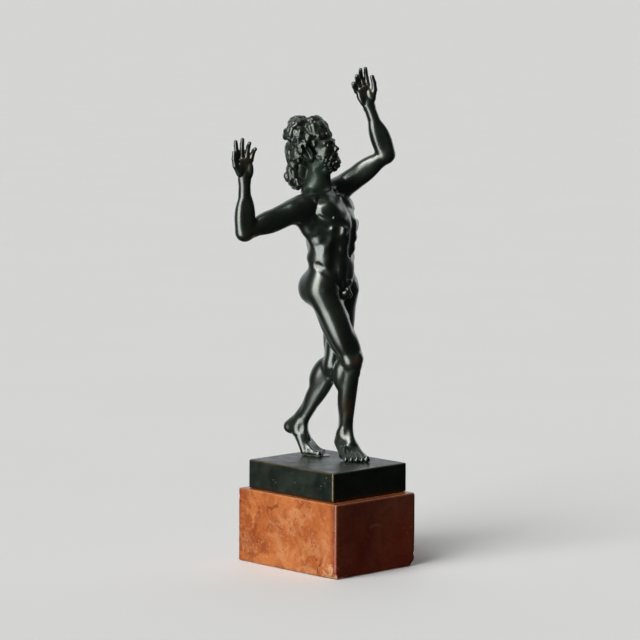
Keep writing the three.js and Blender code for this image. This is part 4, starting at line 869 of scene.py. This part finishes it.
def beard(m, h):
    rng = np.random.default_rng(BEARD_SEED)
    m.egg(h, (0, 4.0, -10.2), (4.8, 5.0, 4.2), 1.5)
    for s in (-1, 1):
        m.bar(h.at(6.4 * s, 0.6, -5), 1.6, h.at(4.0 * s, 4.6, -10), 2.4, 1.5)
    root = h.at(0, 0.5, -7.0)
    # rows of curls, each as how high it lies and where its curls sit, in degrees
    rows = (
        (18, (-86, 86)),
        (3, (-80, -62, 62, 80)),
        (-10, (-74, -54, -36, 36, 54, 74)),
        (-25, (-66, -47, -29, -10, 10, 29, 47, 66)),
        (-41, (-62, -41, -20, 0, 20, 41, 62)),
        (-57, (-58, -32, -11, 11, 32, 58)),
        (-74, (-60, -20, 20, 60)),
    )
    ways = []
    for high, places in rows:
        for around in places:
            around += rng.uniform(-2, 2)
            ways.append(h.toward(around, high + rng.uniform(-2, 2)))
    ways = np.array(ways)
    made = []
    for i, (spot, way) in enumerate(zip(m.land(root + ways * 25, -ways, 0.25), ways)):
        size = 1.3 + rng.uniform(-0.12, 0.12)
        made += curl(spot, way, size, 1.2 if i % 2 else -1.2, rng.uniform(0, 6))
    # moustache: two locks that part under the nose, and tufts below the lip
    for s in (-1, 1):
        path = smooth([h.at(x * s, 0, u) for x, u in ((0.3, -5.3), (1.8, -5.7), (3.4, -7.2), (4.2, -9.0))], 6)
        line = m.land(path + h.front * 25, -h.front, 0.15)
        made += tress(line, np.repeat([h.front + h.side * s * 0.4], 7, 0), 0.72, strands=2)
        made.append((egg(h, (0.45 * s, 8.7, -8.9), (0.55, 0.7, 1.0)), 0.25))
    return made


def figure_masses():
    hips, chest = vec(*HIPS), vec(*CHEST)
    spine = unit(chest - hips)
    lean = unit(spine + UP)
    hip_side = unit(turned(HIPS_TURN) - UP * radians(HIPS_DROP_LEFT))
    pelvis = Frame(hips, hip_side, square(heading(HIPS_TURN), lean), lean)
    back = unit(spine * 1.22 - heading(CHEST_TURN) * 0.22)
    chest_side = unit(turned(CHEST_TURN) + UP * radians(CHEST_RISE_LEFT))
    thorax = Frame(chest, chest_side, square(heading(CHEST_TURN), back), back)
    face, head_side = heading(HEAD_TURN, HEAD_LIFT), turned(HEAD_TURN)
    skull = Frame(vec(*HEAD_AT), head_side, face, np.cross(face, head_side))
    neck_root, neck_top = thorax.at(0, -2.2, 2), skull.at(0, -3.5, -7.5)
    neck_along = unit(neck_top - neck_root)
    neck_front = square(heading((CHEST_TURN + HEAD_TURN) / 2), neck_along)
    stretch = np.linalg.norm(neck_top - neck_root) / NECK
    neck = Frame(neck_root, -np.cross(neck_along, neck_front), neck_front, neck_along * stretch)
    masses = [trunk(pelvis, thorax, neck), head(skull)]
    for s, ball, turn, pitch, knee_turn in (
        (-1, RIGHT_BALL, RIGHT_FOOT_TURN, RIGHT_FOOT_PITCH, RIGHT_KNEE_TURN),
        (1, LEFT_BALL, LEFT_FOOT_TURN, LEFT_FOOT_PITCH, LEFT_KNEE_TURN),
    ):
        hip, foot = pelvis.at(s * HIP_HALF, 0, 0), foot_frame(ball, turn, pitch, s)
        facing = heading(knee_turn)
        knee = bend(hip, foot.ankle, THIGH, SHANK, facing)
        masses.append(leg(hip, knee, foot, facing, pelvis.side * s))
    # solder run out round the ball of the back foot
    pool = Frame(vec(*LEFT_BALL, GROUND), foot.side, foot.level, UP)
    masses[-1].egg(pool, (0, 4.5, 0), (6.4, 9.5, 1.0), 0.5)
    for s, set_back, wrist, curls, *ways in (
        (-1, RIGHT_SHOULDER_BACK, RIGHT_WRIST, RIGHT_CURLS, *RIGHT_ARM_WAYS),
        (1, LEFT_SHOULDER_BACK, LEFT_WRIST, LEFT_CURLS, *LEFT_ARM_WAYS),
    ):
        drop, palm, reach = (vec(*way) for way in ways)
        shoulder, wrist = thorax.at(s * SHOULDER_HALF, -set_back, 0), vec(*wrist)
        elbow = bend(shoulder, wrist, UPPER_ARM, FOREARM, drop)
        masses.append(arm(shoulder, elbow, wrist, vec(s, 0, 0), palm, reach, s, curls))
    return masses


def figure_field(masses):
    def at(x, y, z, lo, hi):
        return np.maximum(field(masses, x, y, z, lo, hi), GROUND - z)

    return at


def extent(masses, pad):
    added = [s for m in masses for s in m.steps if not s[4]]
    lo, hi = np.min([s[1] for s in added], 0) - pad, np.max([s[2] for s in added], 0) + pad
    lo[2] = GROUND - pad
    return lo, hi


def ripple(x, y, z, size, seed):
    """Smooth irregular waves between about -1 and 1, of a given size in millimetres."""
    rng = np.random.default_rng(seed)
    total = 0
    for _ in range(5):
        way = rng.normal(size=3)
        way *= 2 * pi / (size * np.linalg.norm(way) * rng.uniform(0.7, 1.5))
        total = total + np.sin(x * way[0] + y * way[1] + z * way[2] + rng.uniform(0, 6.3))
    return total * 0.42


def box_distance(q):
    """Distance from a box, from how far a point lies past each pair of its faces."""
    out = np.sqrt(sum(np.maximum(v, 0) ** 2 for v in q))
    return out + np.minimum(np.maximum(np.maximum(q[0], q[1]), q[2]), 0)


def worn_box(size, middle, edge, wander, seed):
    """A box whose edges are rounded unevenly and whose faces wave a little."""

    def distance(*at):
        x, y, z = (v - m for v, m in zip(at, middle))
        r = edge + wander * ripple(x, y, z, 9, seed)
        d = box_distance([np.abs(v) - (s / 2 - r) for v, s in zip((x, y, z), size)]) - r
        return d + 0.05 + 0.05 * ripple(x, y, z, 23, seed + 1)

    return distance


def spin(axis, degrees):
    """The matrix that turns round one of the axes."""
    c, s = cos(radians(degrees)), sin(radians(degrees))
    i, j = (axis + 1) % 3, (axis + 2) % 3
    m = np.eye(3)
    m[i, i] = m[j, j] = c
    m[j, i], m[i, j] = s, -s
    return m


def knife(middle, size, turns):
    """A turned cube that breaks a corner off."""
    x_turn, y_turn, z_turn = (spin(axis, t) for axis, t in enumerate(turns))
    axes = (z_turn @ y_turn @ x_turn).T

    def distance(*at):
        x, y, z = (v - m for v, m in zip(at, middle))
        return box_distance([np.abs(x * r[0] + y * r[1] + z * r[2]) - size / 2 for r in axes])

    return distance


def chipped(base, chips, knives=()):
    """A body with small pieces broken off where chips (x, y, z, radii) lie."""
    eggs = [egg(Frame(vec(*at), *np.eye(3)), (0, 0, 0), radii) for at, radii in chips]

    def at(x, y, z, lo, hi):
        d = base(x, y, z)
        for shape, near_lo, near_hi in eggs:
            if np.all(near_lo - 1.5 < hi) and np.all(near_hi + 1.5 > lo):
                d = -join(-d, shape(x, y, z), 0.5)
        for cut in knives:
            d = -join(-d, cut(x, y, z) + 0.15 * ripple(x, y, z, 3, 5), 0.5)
        return d

    return at


def edge_chips(size, middle, count, small, large, seed, low_share=0.6):
    """Chips along a box's edges, more of them on the lower ones."""
    rng = np.random.default_rng(seed)
    half = np.array(size) / 2
    chips = []
    for _ in range(count):
        axis = rng.integers(3)
        sign = rng.choice((-1, 1), 3)
        if rng.uniform() < low_share:
            sign[2] = -1
        at = np.array(middle) + sign * half
        at[axis] = middle[axis] + rng.uniform(-1, 1) * half[axis]
        r = small + (large - small) * rng.uniform() ** 3
        radii = [r * rng.uniform(0.7, 1.4) for _ in range(3)]
        chips.append((at + sign * r * 0.35 * np.where(np.arange(3) == axis, 0, 1), radii))
    return chips


def base_fields():
    block_mid = (0, 0, BLOCK[2] / 2)
    hx, hy = BLOCK[0] / 2, BLOCK[1] / 2
    top = BLOCK[2]
    chips = edge_chips(BLOCK, block_mid, 46, 0.35, 1.5, 3)
    # larger losses low on the front corner and along the left foot
    chips += [
        ((-hx - 0.3, -hy + 6.5, 0.6), (1.2, 2.6, 1.6)),
        ((-hx - 0.3, -hy + 0.8, 1.2), (1.9, 2.0, 2.6)),
        ((-hx - 0.5, -hy + 3.8, 0.4), (1.8, 2.2, 1.7)),
        ((-hx - 0.7, -hy + 10.0, 2.9), (1.1, 2.4, 1.3)),
        ((-hx - 0.2, -hy + 13, -0.1), (0.9, 3.2, 1.0)),
        ((-hx + 4.5, -hy - 0.3, 0.4), (2.6, 1.2, 1.3)),
        ((-hx - 0.6, -hy - 0.6, 15), (1.4, 1.4, 1.8)),
        ((-hx - 0.4, hy - 9, 0.2), (1.1, 3.0, 1.2)),
        ((hx + 0.6, -hy - 0.6, top + 0.2), (2.0, 2.0, 1.5)),
        ((-hx - 0.5, hy - 22, top + 0.5), (1.0, 2.2, 1.0)),
    ]
    knives = (
        knife((hx + 1.2, -hy + 0.6, -1), CHIP_SIDE, (12, 38, 40)),
        knife((-hx - 0.5, -hy - 0.5, -0.3), CHIP_FRONT, (38, 20, 45)),
    )
    block = chipped(worn_box(BLOCK, block_mid, 0.5, 0.2, 11), chips, knives)
    plinth_mid = (*PLINTH_SHIFT, BLOCK[2] + PLINTH[2] / 2)
    nicks = edge_chips(PLINTH, plinth_mid, 22, 0.2, 0.55, 8, 0.3)
    plinth = chipped(worn_box(PLINTH, plinth_mid, 0.6, 0.15, 21), nicks)
    return (block, BLOCK, block_mid), (plinth, PLINTH, plinth_mid)


def mesh_from(name, points, quads, keep):
    """A mesh piece whose flatter parts are thinned to a share of its faces."""
    raw = bpy.data.meshes.new(name)
    raw.vertices.add(len(points))
    raw.vertices.foreach_set("co", points.astype(np.float32).ravel())
    raw.loops.add(len(quads) * 4)
    raw.loops.foreach_set("vertex_index", quads.astype(np.int32).ravel())
    raw.polygons.add(len(quads))
    raw.polygons.foreach_set("loop_start", np.arange(0, len(quads) * 4, 4, dtype=np.int32))
    raw.update(calc_edges=True)
    raw.validate()
    piece = linked(name, raw)
    if keep < 1:
        piece.modifiers.new("thin", "DECIMATE").ratio = keep
        graph = bpy.context.evaluated_depsgraph_get()
        mesh = bpy.data.meshes.new_from_object(piece.evaluated_get(graph))
        piece.modifiers.clear()
        piece.data = mesh
        bpy.data.meshes.remove(raw)
    piece.data.name = name
    piece.data.shade_smooth()
    return piece


def linked(name, data):
    """A new object in the scene."""
    made = bpy.data.objects.new(name, data)
    bpy.context.scene.collection.objects.link(made)
    return made


def numbers(items, name, width, kind=np.float32):
    """One property of all items of a mesh, a row each."""
    values = np.empty(len(items) * width, kind)
    items.foreach_get(name, values)
    return values.reshape(-1, width)


def places(mesh):
    return numbers(mesh.vertices, "co", 3)


def hollowness(mesh, rounds=2):
    """How hollow (+) or ridged (-) the skin is at each point."""
    p = places(mesh)
    normal = numbers(mesh.vertex_normals, "vector", 3)
    a, b = numbers(mesh.edges, "vertices", 2, np.int32).T
    n = len(p)
    count = np.maximum(np.bincount(a, minlength=n) + np.bincount(b, minlength=n), 1)

    def around(at_a, at_b):
        return (np.bincount(a, at_b, n) + np.bincount(b, at_a, n)) / count

    mean = np.stack([around(v[a], v[b]) for v in p.T], 1)
    long = np.linalg.norm(p[a] - p[b], axis=1)
    h = ((mean - p) * normal).sum(1) / np.maximum(around(long, long), TINY) ** 2
    for _ in range(rounds):
        h = (h + around(h[a], h[b])) / 2
    return h


def put(mesh, **values):
    """Named values of the points, for the materials."""
    for name, value in values.items():
        layer = mesh.attributes.new(name, "FLOAT", "POINT")
        layer.data.foreach_set("value", np.clip(value, 0, 1).astype(np.float32))


def near(points, spots):
    """1 at the spots (x, y, z, radius), fading to 0 round them."""
    total = np.zeros(len(points))
    for *at, r in spots:
        away = np.linalg.norm(points - vec(*at), axis=1) / r
        total = np.maximum(total, np.clip(1.5 - away, 0, 1))
    return total * total * (3 - 2 * total)


def to_metres(mesh):
    mesh.vertices.foreach_set("co", (places(mesh) * np.float32(0.001)).ravel())
    mesh.update()


class Nodes:
    """Short names for building a node tree, and a colour that tints are laid over."""

    def __init__(self, owner):
        owner.use_nodes = True
        self.owner, self.tree, self.color = owner, owner.node_tree, None
        self.where = self.node("TexCoord").outputs["Object"]

    def node(self, kind, **settings):
        made = self.tree.nodes.new("ShaderNode" + kind)
        for key, value in settings.items():
            setattr(made, key, value)
        return made

    def feed(self, socket, value):
        if isinstance(value, bpy.types.NodeSocket):
            self.tree.links.new(value, socket)
        elif socket.type == "RGBA":
            socket.default_value = (*value, 1)
        else:
            socket.default_value = value

    def made(self, kind, inputs, output=0, **settings):
        """The output of a new node, its inputs given by number or name."""
        n = self.node(kind, **settings)
        for key, value in inputs.items():
            self.feed(n.inputs[key], value)
        return n.outputs[output]

    def noise(self, scale, detail=3.0, rough=0.55, warp=0.0, shift=0.0):
        by = (shift, shift * 1.7, shift * 0.6)
        at = self.made("VectorMath", {0: self.where, 1: by}, operation="ADD")
        settings = {"Vector": at, "Scale": scale, "Detail": detail, "Roughness": rough, "Distortion": warp}
        return self.made("TexNoise", settings)

    def cells(self, scale, vector=None, feature="F1"):
        inputs = {"Vector": vector or self.where, "Scale": scale}
        return self.made("TexVoronoi", inputs, "Distance", feature=feature)

    def borders(self, scale, vector):
        return self.cells(scale, vector, "DISTANCE_TO_EDGE")

    def span(self, value, low, high, to_low=0.0, to_high=1.0):
        inputs = dict(enumerate((value, low, high, to_low, to_high)))
        return self.made("MapRange", inputs, interpolation_type="SMOOTHSTEP")

    def patch(self, low, high, *noise, **shift):
        """1 where a noise is high, fading to 0 where it is low."""
        return self.span(self.noise(*noise, **shift), low, high)

    def calc(self, kind, a, b):
        return self.made("Math", {0: a, 1: b}, operation=kind, use_clamp=kind in ("ADD", "SUBTRACT"))

    def times(self, a, b):
        return self.calc("MULTIPLY", a, b)

    def plus(self, a, b):
        return self.calc("ADD", a, b)

    def mix(self, share, a, b):
        return self.made("Mix", {0: share, 6: a, 7: b}, 2, data_type="RGBA")

    def tint(self, share, amount, color):
        """Lays a colour over the one so far, where share and amount say."""
        self.color = self.mix(self.times(share, amount), self.color, color)

    def value(self, name):
        return self.node("Attribute", attribute_name=name).outputs["Fac"]

    def bump(self, height, strength, distance, onto=None):
        inputs = {"Height": height, "Strength": strength, "Distance": distance}
        if onto:
            inputs["Normal"] = onto
        return self.made("Bump", inputs)

    def finished(self, **sockets):
        """The material, with the colour so far and its shader's other sockets set."""
        shader = self.tree.nodes["Principled BSDF"]
        for key, value in dict(Base_Color=self.color, **sockets).items():
            self.feed(shader.inputs[key.replace("_", " ")], value)
        return self.owner


def figure_bronze():
    """Dark waxed bronze: green-black, browner where hands have worn it, brassy in the palm."""
    n = Nodes(bpy.data.materials.new("figure_bronze"))
    broad, fine = n.noise(42, 4, 0.6, 0.6), n.noise(310, 3, 0.6, shift=3)
    green, hair_here = n.value("green"), n.value("hair")
    n.color = n.mix(n.span(broad, 0.35, 0.68), (0.026, 0.042, 0.030), (0.050, 0.066, 0.047))
    n.tint(n.patch(0.56, 0.72, 75, 3, shift=9), 0.6, (0.042, 0.040, 0.024))
    n.tint(n.span(fine, 0.55, 0.75), 0.35, (0.012, 0.016, 0.014))
    # dull deposit in the hollows, bare metal on the sharpest ridges
    hollow = n.times(n.value("hollow"), n.span(fine, 0.25, 0.6, 0.4, 1))
    n.tint(hollow, 0.5, (0.030, 0.040, 0.032))
    ridge = n.times(n.value("ridge"), n.span(broad, 0.4, 0.6, 0.2, 1))
    n.tint(ridge, 0.4, (0.090, 0.082, 0.055))
    n.tint(green, 0.4, (0.065, 0.105, 0.082))
    n.tint(n.value("brown"), n.span(fine, 0.3, 0.6, 0.3, 0.7), (0.105, 0.032, 0.013))
    n.tint(n.value("brass"), n.span(fine, 0.35, 0.6, 0.25, 0.65), (0.165, 0.140, 0.085))
    n.tint(n.value("solder"), n.span(fine, 0.35, 0.55, 0.3, 1), (0.330, 0.360, 0.310))
    rough = n.span(n.noise(95, 4, 0.65, shift=5), 0.3, 0.7, 0.28, 0.4)
    for share, amount in ((hollow, 0.22), (green, 0.16), (hair_here, 0.12)):
        rough = n.plus(rough, n.times(share, amount))
    grain = n.bump(n.noise(900, 3, 0.6), 0.12, 0.0002)
    waves = n.bump(n.noise(160, 2, 0.5, shift=7), 0.1, 0.0006, grain)
    # the wax is thin where the neck has turned green, and in the hair
    wax = n.times(n.span(green, 0.0, 0.8, 1.0, 0.25), n.span(hair_here, 0.0, 1.0, 1.0, 0.5))
    crust = n.calc("MAXIMUM", n.value("solder"), n.times(n.value("brown"), 0.35))
    return n.finished(
        Metallic=n.span(crust, 0.0, 1.0, 0.85, 0.15), Roughness=rough, Normal=waves,
        Coat_Weight=wax, Coat_Roughness=0.25, Coat_IOR=1.85,
    )


def plinth_bronze():
    """The plinth's bronze: darker and duller, mottled, with a thin worn line along its edges."""
    n = Nodes(bpy.data.materials.new("plinth_bronze"))
    n.color = n.mix(n.patch(0.35, 0.66, 38, 5, 0.65, 0.8), (0.023, 0.036, 0.027), (0.042, 0.055, 0.042))
    n.tint(n.patch(0.55, 0.7, 120, 4, 0.7, shift=4), 0.5, (0.058, 0.056, 0.036))
    specks = n.times(n.span(n.cells(330), 0.16, 0.08), n.patch(0.52, 0.64, 60, 2, shift=6))
    n.tint(specks, 0.7, (0.300, 0.300, 0.260))
    turn = {"Vector": n.where, "Scale": (1, 0.12, 0.5), "Rotation": (0.1, 0.2, 0.6)}
    scuffs = n.made("TexNoise", {"Vector": n.made("Mapping", turn), "Scale": 900, "Detail": 2})
    n.tint(n.span(scuffs, 0.66, 0.74), 0.25, (0.160, 0.150, 0.120))
    worn = n.times(n.value("ridge"), n.span(n.noise(420, 3, 0.6, shift=2), 0.3, 0.55, 0.45, 1))
    n.tint(worn, 0.85, (0.400, 0.240, 0.085))
    rough = n.span(n.noise(80, 5, 0.7, shift=8), 0.3, 0.7, 0.26, 0.46)
    grain = n.bump(n.noise(700, 3, 0.6), 0.14, 0.0002)
    dents = n.bump(n.noise(85, 3, 0.6, shift=1), 0.16, 0.0009, grain)
    return n.finished(
        Metallic=0.8, Roughness=n.plus(rough, n.times(specks, 0.3)), Normal=dents,
        Coat_Weight=0.25, Coat_Roughness=0.3, Coat_IOR=1.45,
    )


def marble():
    """Polished orange-brown marble: clouded, veined and pitted, pale along its edges where it is worn and
    where a highlight is painted, with painted shade on its front face.
    """
    n = Nodes(bpy.data.materials.new("marble"))
    cloud, small, fine = n.noise(30, 6, 0.65, 0.7), n.noise(110, 7, 0.74, 0.3, 3), n.noise(480, 5, 0.7, 0, 5)
    n.color = n.mix(n.span(cloud, 0.32, 0.66), (0.342, 0.084, 0.021), (0.504, 0.168, 0.053))
    # brown clouds, thickest toward the back left edge, and pale ones
    brown = n.plus(n.noise(58, 8, 0.74, 0.8, 11), n.times(n.value("brown"), 0.17))
    n.tint(n.span(brown, 0.53, 0.66), 0.66, (0.211, 0.041, 0.011))
    pale = n.plus(n.noise(80, 7, 0.74, 0.5, 21), n.times(n.value("pale"), 0.1))
    n.tint(n.span(pale, 0.54, 0.70), 0.5, (0.590, 0.270, 0.115))
    n.tint(n.span(small, 0.54, 0.66), 0.5, (0.252, 0.054, 0.015))
    n.tint(n.span(fine, 0.54, 0.68), 0.5, (0.243, 0.061, 0.018))
    n.tint(n.patch(0.57, 0.7, 390, 4, 0.7, 0, 31), 0.45, (0.621, 0.320, 0.145))
    # painted shade: the front face, turned away from the window, is painted a dark red, deeper low down and
    # near black in broad patches
    shaded_wine = n.mix(n.value("pitted"), (0.250, 0.014, 0.008), (0.220, 0.046, 0.030))
    shaded_wine = n.mix(n.times(n.patch(0.42, 0.62, 26, 4, 0.6, 0.6, 47), 0.5), shaded_wine, (0.085, 0.009, 0.006))
    n.tint(n.value("front"), n.span(cloud, 0.3, 0.6, 0.96, 0.72), shaded_wine)
    # veins and cracks: thin warped cell borders, broken up
    warp = n.made("TexNoise", {"Vector": n.where, "Scale": 45, "Detail": 6}, "Color")
    bend_by = {0: warp, 1: (0.018, 0.018, 0.018), 2: n.where}
    bent = n.made("VectorMath", bend_by, operation="MULTIPLY_ADD")
    broken_up = n.plus(n.noise(34, 3, 0.5, 0, 8), n.times(n.value("crack"), 0.1))
    veins = n.times(n.span(n.borders(60, bent), 0.04, 0.0), n.span(broken_up, 0.56, 0.68))
    n.tint(veins, 0.7, (0.135, 0.030, 0.011))
    seam = n.times(n.span(n.borders(23, bent), 0.022, 0.0), n.patch(0.52, 0.62, 22, 3, 0.5, 0, 17))
    n.tint(seam, 0.4, (0.666, 0.426, 0.238))
    # red grains, white grains and pits
    red = n.times(n.span(n.cells(150), 0.2, 0.1), n.patch(0.5, 0.6, 40, 3, 0.6, 0, 23))
    n.tint(red, 0.75, (0.261, 0.025, 0.008))
    white = n.times(n.span(n.cells(210), 0.11, 0.06), n.patch(0.5, 0.6, 52, 3, 0.6, 0, 29))
    n.tint(white, 0.5, (0.702, 0.492, 0.290))
    sparse = n.plus(n.noise(55, 3, 0.6, 0, 13), n.times(n.value("pitted"), 0.06))
    pits = n.times(n.span(n.cells(270), 0.22, 0.1), n.span(sparse, 0.52, 0.62))
    n.tint(pits, 0.85, (0.099, 0.025, 0.009))
    # pale along the edges: partly worn stone, partly a painted highlight
    n.tint(n.times(n.value("ridge"), n.span(fine, 0.35, 0.55, 0.35, 1)), 0.5, (0.560, 0.300, 0.150))
    # low on the front corner it is flaked and cracked
    flaked = n.span(n.value("crack"), 0.45, 0.95)
    n.tint(n.times(flaked, n.patch(0.53, 0.6, 150, 4, 0.7, 0.9, 41)), 0.7, (0.640, 0.370, 0.200))
    splits = n.times(n.span(n.borders(95, bent), 0.07, 0.01), flaked)
    splits = n.times(splits, n.patch(0.46, 0.56, 70, 3, 0.5, 0, 43))
    n.tint(splits, 0.85, (0.110, 0.026, 0.010))
    broken = n.value("broken")
    n.tint(broken, 0.75, (0.540, 0.270, 0.130))
    rough = n.span(small, 0.3, 0.7, 0.16, 0.3)
    rough = n.plus(rough, n.times(n.calc("MAXIMUM", pits, broken), 0.4))
    lines = n.calc("MAXIMUM", veins, splits)
    deep = n.calc("SUBTRACT", n.times(fine, 0.25), n.times(n.calc("MAXIMUM", pits, lines), 0.25))
    relief = n.bump(deep, 0.3, 0.0006)
    return n.finished(
        Metallic=0.0, Roughness=rough, Normal=relief, Coat_Weight=0.3, Coat_Roughness=0.12
    )


def plain(name, color, rough):
    n = Nodes(bpy.data.materials.new(name))
    n.color = n.mix(n.noise(6, 2), tuple(c * 0.97 for c in color), color)
    return n.finished(Roughness=rough)


def facing(azimuth, elevation):
    """Right, up and back of something that looks at the object (azimuth 0 is the front)."""
    a, e = radians(azimuth), radians(elevation)
    right = turned(azimuth)
    back = vec(sin(a) * cos(e), -cos(a) * cos(e), sin(e))
    return right, np.cross(back, right), back


def stand(thing, right, up, back, at):
    rows = [list(row) for row in np.stack([right, up, back, at], 1)]
    thing.matrix_world = Matrix(rows + [[0, 0, 0, 1]])


def make_camera():
    right, up, back = facing(AZIMUTH, ELEVATION)
    at = vec(0, 0, AIM_HEIGHT) + right * AIM_ASIDE + back * DISTANCE
    c, s = cos(radians(ROLL)), sin(radians(ROLL))
    data = bpy.data.cameras.new("camera")
    data.sensor_width = 36
    data.lens = FOCAL_PIXELS * data.sensor_width / FRAME_PIXELS
    data.clip_start, data.clip_end = 0.05, 200
    cam = linked("camera", data)
    stand(cam, right * c + up * s, up * c - right * s, back, at * 0.001)
    bpy.context.scene.camera = cam


def sun(name, azimuth, elevation, energy, angle, color=(1, 1, 1)):
    """A soft disc of light from an azimuth (0 is the front) and elevation."""
    data = bpy.data.lights.new(name, "SUN")
    data.energy, data.angle, data.color = energy, radians(angle), color
    right, up, back = facing(azimuth, elevation)
    stand(linked(name, data), right, up, back, UP * LIGHTS_HEIGHT + back)


def make_light():
    # a window at the left from floor to ceiling, as two columns of soft discs
    for column, azimuth in enumerate(WINDOW_COLUMNS):
        for row, (high, energy) in enumerate(WINDOW_DISCS):
            sun(f"window_{column}_{row}", azimuth, high, energy, WINDOW_DISC, WINDOW_COLOR)
    sun("far_wall", *FAR_WALL)
    # the room behind is brighter toward the back right, and plain pale to the camera
    world = bpy.data.worlds.new("room")
    bpy.context.scene.world = world
    n = Nodes(world)
    n.tree.nodes.clear()
    toward = {0: n.node("TexCoord").outputs["Generated"], 1: (0.66, 0.71, 0.25)}
    level = n.span(n.made("VectorMath", toward, "Value", operation="DOT_PRODUCT"), 0.35, 0.92, 0.02, 0.62)
    light = n.made("Background", {"Color": (0.93, 0.97, 1.0), "Strength": level})
    pale = n.made("Background", {"Color": (0.66, 0.66, 0.655)})
    seen = n.node("LightPath").outputs["Is Camera Ray"]
    n.feed(n.node("OutputWorld").inputs[0], n.made("MixShader", {0: seen, 1: light, 2: pale}))


def make_floor():
    mesh = bpy.data.meshes.new("floor")
    shape = bmesh.new()
    bmesh.ops.create_circle(shape, cap_ends=True, segments=96, radius=FLOOR_RADIUS)
    shape.to_mesh(mesh)
    shape.free()
    floor = linked("floor", mesh)
    mesh.materials.append(plain("floor", (0.86, 0.86, 0.85), 0.7))
    # the dark stand of the photograph throws no pale light up, so the floor doesn't either
    floor.visible_diffuse = False
    floor.visible_glossy = False
    # nor does it hide the lowest part of the window
    floor.visible_shadow = False


def make_figure(cell):
    masses = figure_masses()
    lo, hi = extent(masses, 2 * cell)
    points, quads = skin_of(figure_field(masses), lo, hi, cell)
    piece = mesh_from("figure_skin", points, quads, min(1, FIGURE_FACES / len(quads)))
    p = places(piece.data)
    h = hollowness(piece.data)
    worn = {name: near(p, spots) for name, spots in WEAR.items()}
    # the solder stays low, round the sole
    worn["solder"] = worn["solder"] * np.clip((GROUND + 1.6 - p[:, 2]) / 0.8, 0, 1)
    put(piece.data, hollow=h * 0.9 - 0.12, ridge=-h * 0.45 - 0.3, **worn)
    return piece


def make_base(name, shape, size, middle, step, worn_unevenly):
    size, middle = np.array(size), np.array(middle)
    half = size / 2
    reach = half + MARGIN
    points, quads = skin_of(shape, middle - reach, middle + reach, step)
    piece = mesh_from(name, points, quads, BASE_SHARE)
    p = places(piece.data)
    x, y, z = (p - middle).T
    inside = np.sort(np.abs(p - middle) - half, 1)
    ridge = np.clip(1 + (inside[:, 1] + 0.2) / 0.7, 0, 1)
    if worn_unevenly:
        # worn along the left top edge and down the front corner, hardly elsewhere
        left_top = (x < 1 - half[0]) & (z > half[2] - 1)
        corner = np.hypot(x + half[0], y + half[1]) < 2
        ridge *= np.where(left_top, 0.8, np.where(corner, 1.0, 0.25))
    else:
        ridge *= 0.75
    put(
        piece.data,
        ridge=ridge,
        brown=1 - (p[:, 0] + half[0] + (half[1] - p[:, 1])) / 30,
        # the front face, where the marble's painted shade goes
        front=(-p[:, 1] - half[1] + 6) / 5,
        crack=near(p, [(-half[0], -half[1] + 8, 3, 10)]),
        pitted=(z - half[2] + 24) / 20,
        pale=near(p, [(-half[0], -half[1] + 26, 14, 24)]),
        broken=(-inside[:, 2] - 0.35) / 0.5,
    )
    return piece


def main():
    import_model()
    make_camera()
    block, plinth = base_fields()
    step = BASE_CELL[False]
    pieces = (
        (make_figure(FIGURE_CELL[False]), figure_bronze(), "faun_figure", "figure_bronze"),
        (make_base("block_skin", *block, step, False), marble(), "marble_block", "marble"),
        (make_base("plinth_skin", *plinth, step, True), plinth_bronze(), "bronze_plinth", "plinth_bronze"),
    )
    for piece, material, node, slot in pieces:
        piece.data.materials.append(material)
        to_metres(piece.data)
        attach(piece, "root")
        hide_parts(node)
    make_floor()
    make_light()
    bpy.context.scene.view_settings.view_transform = "Standard"


main()
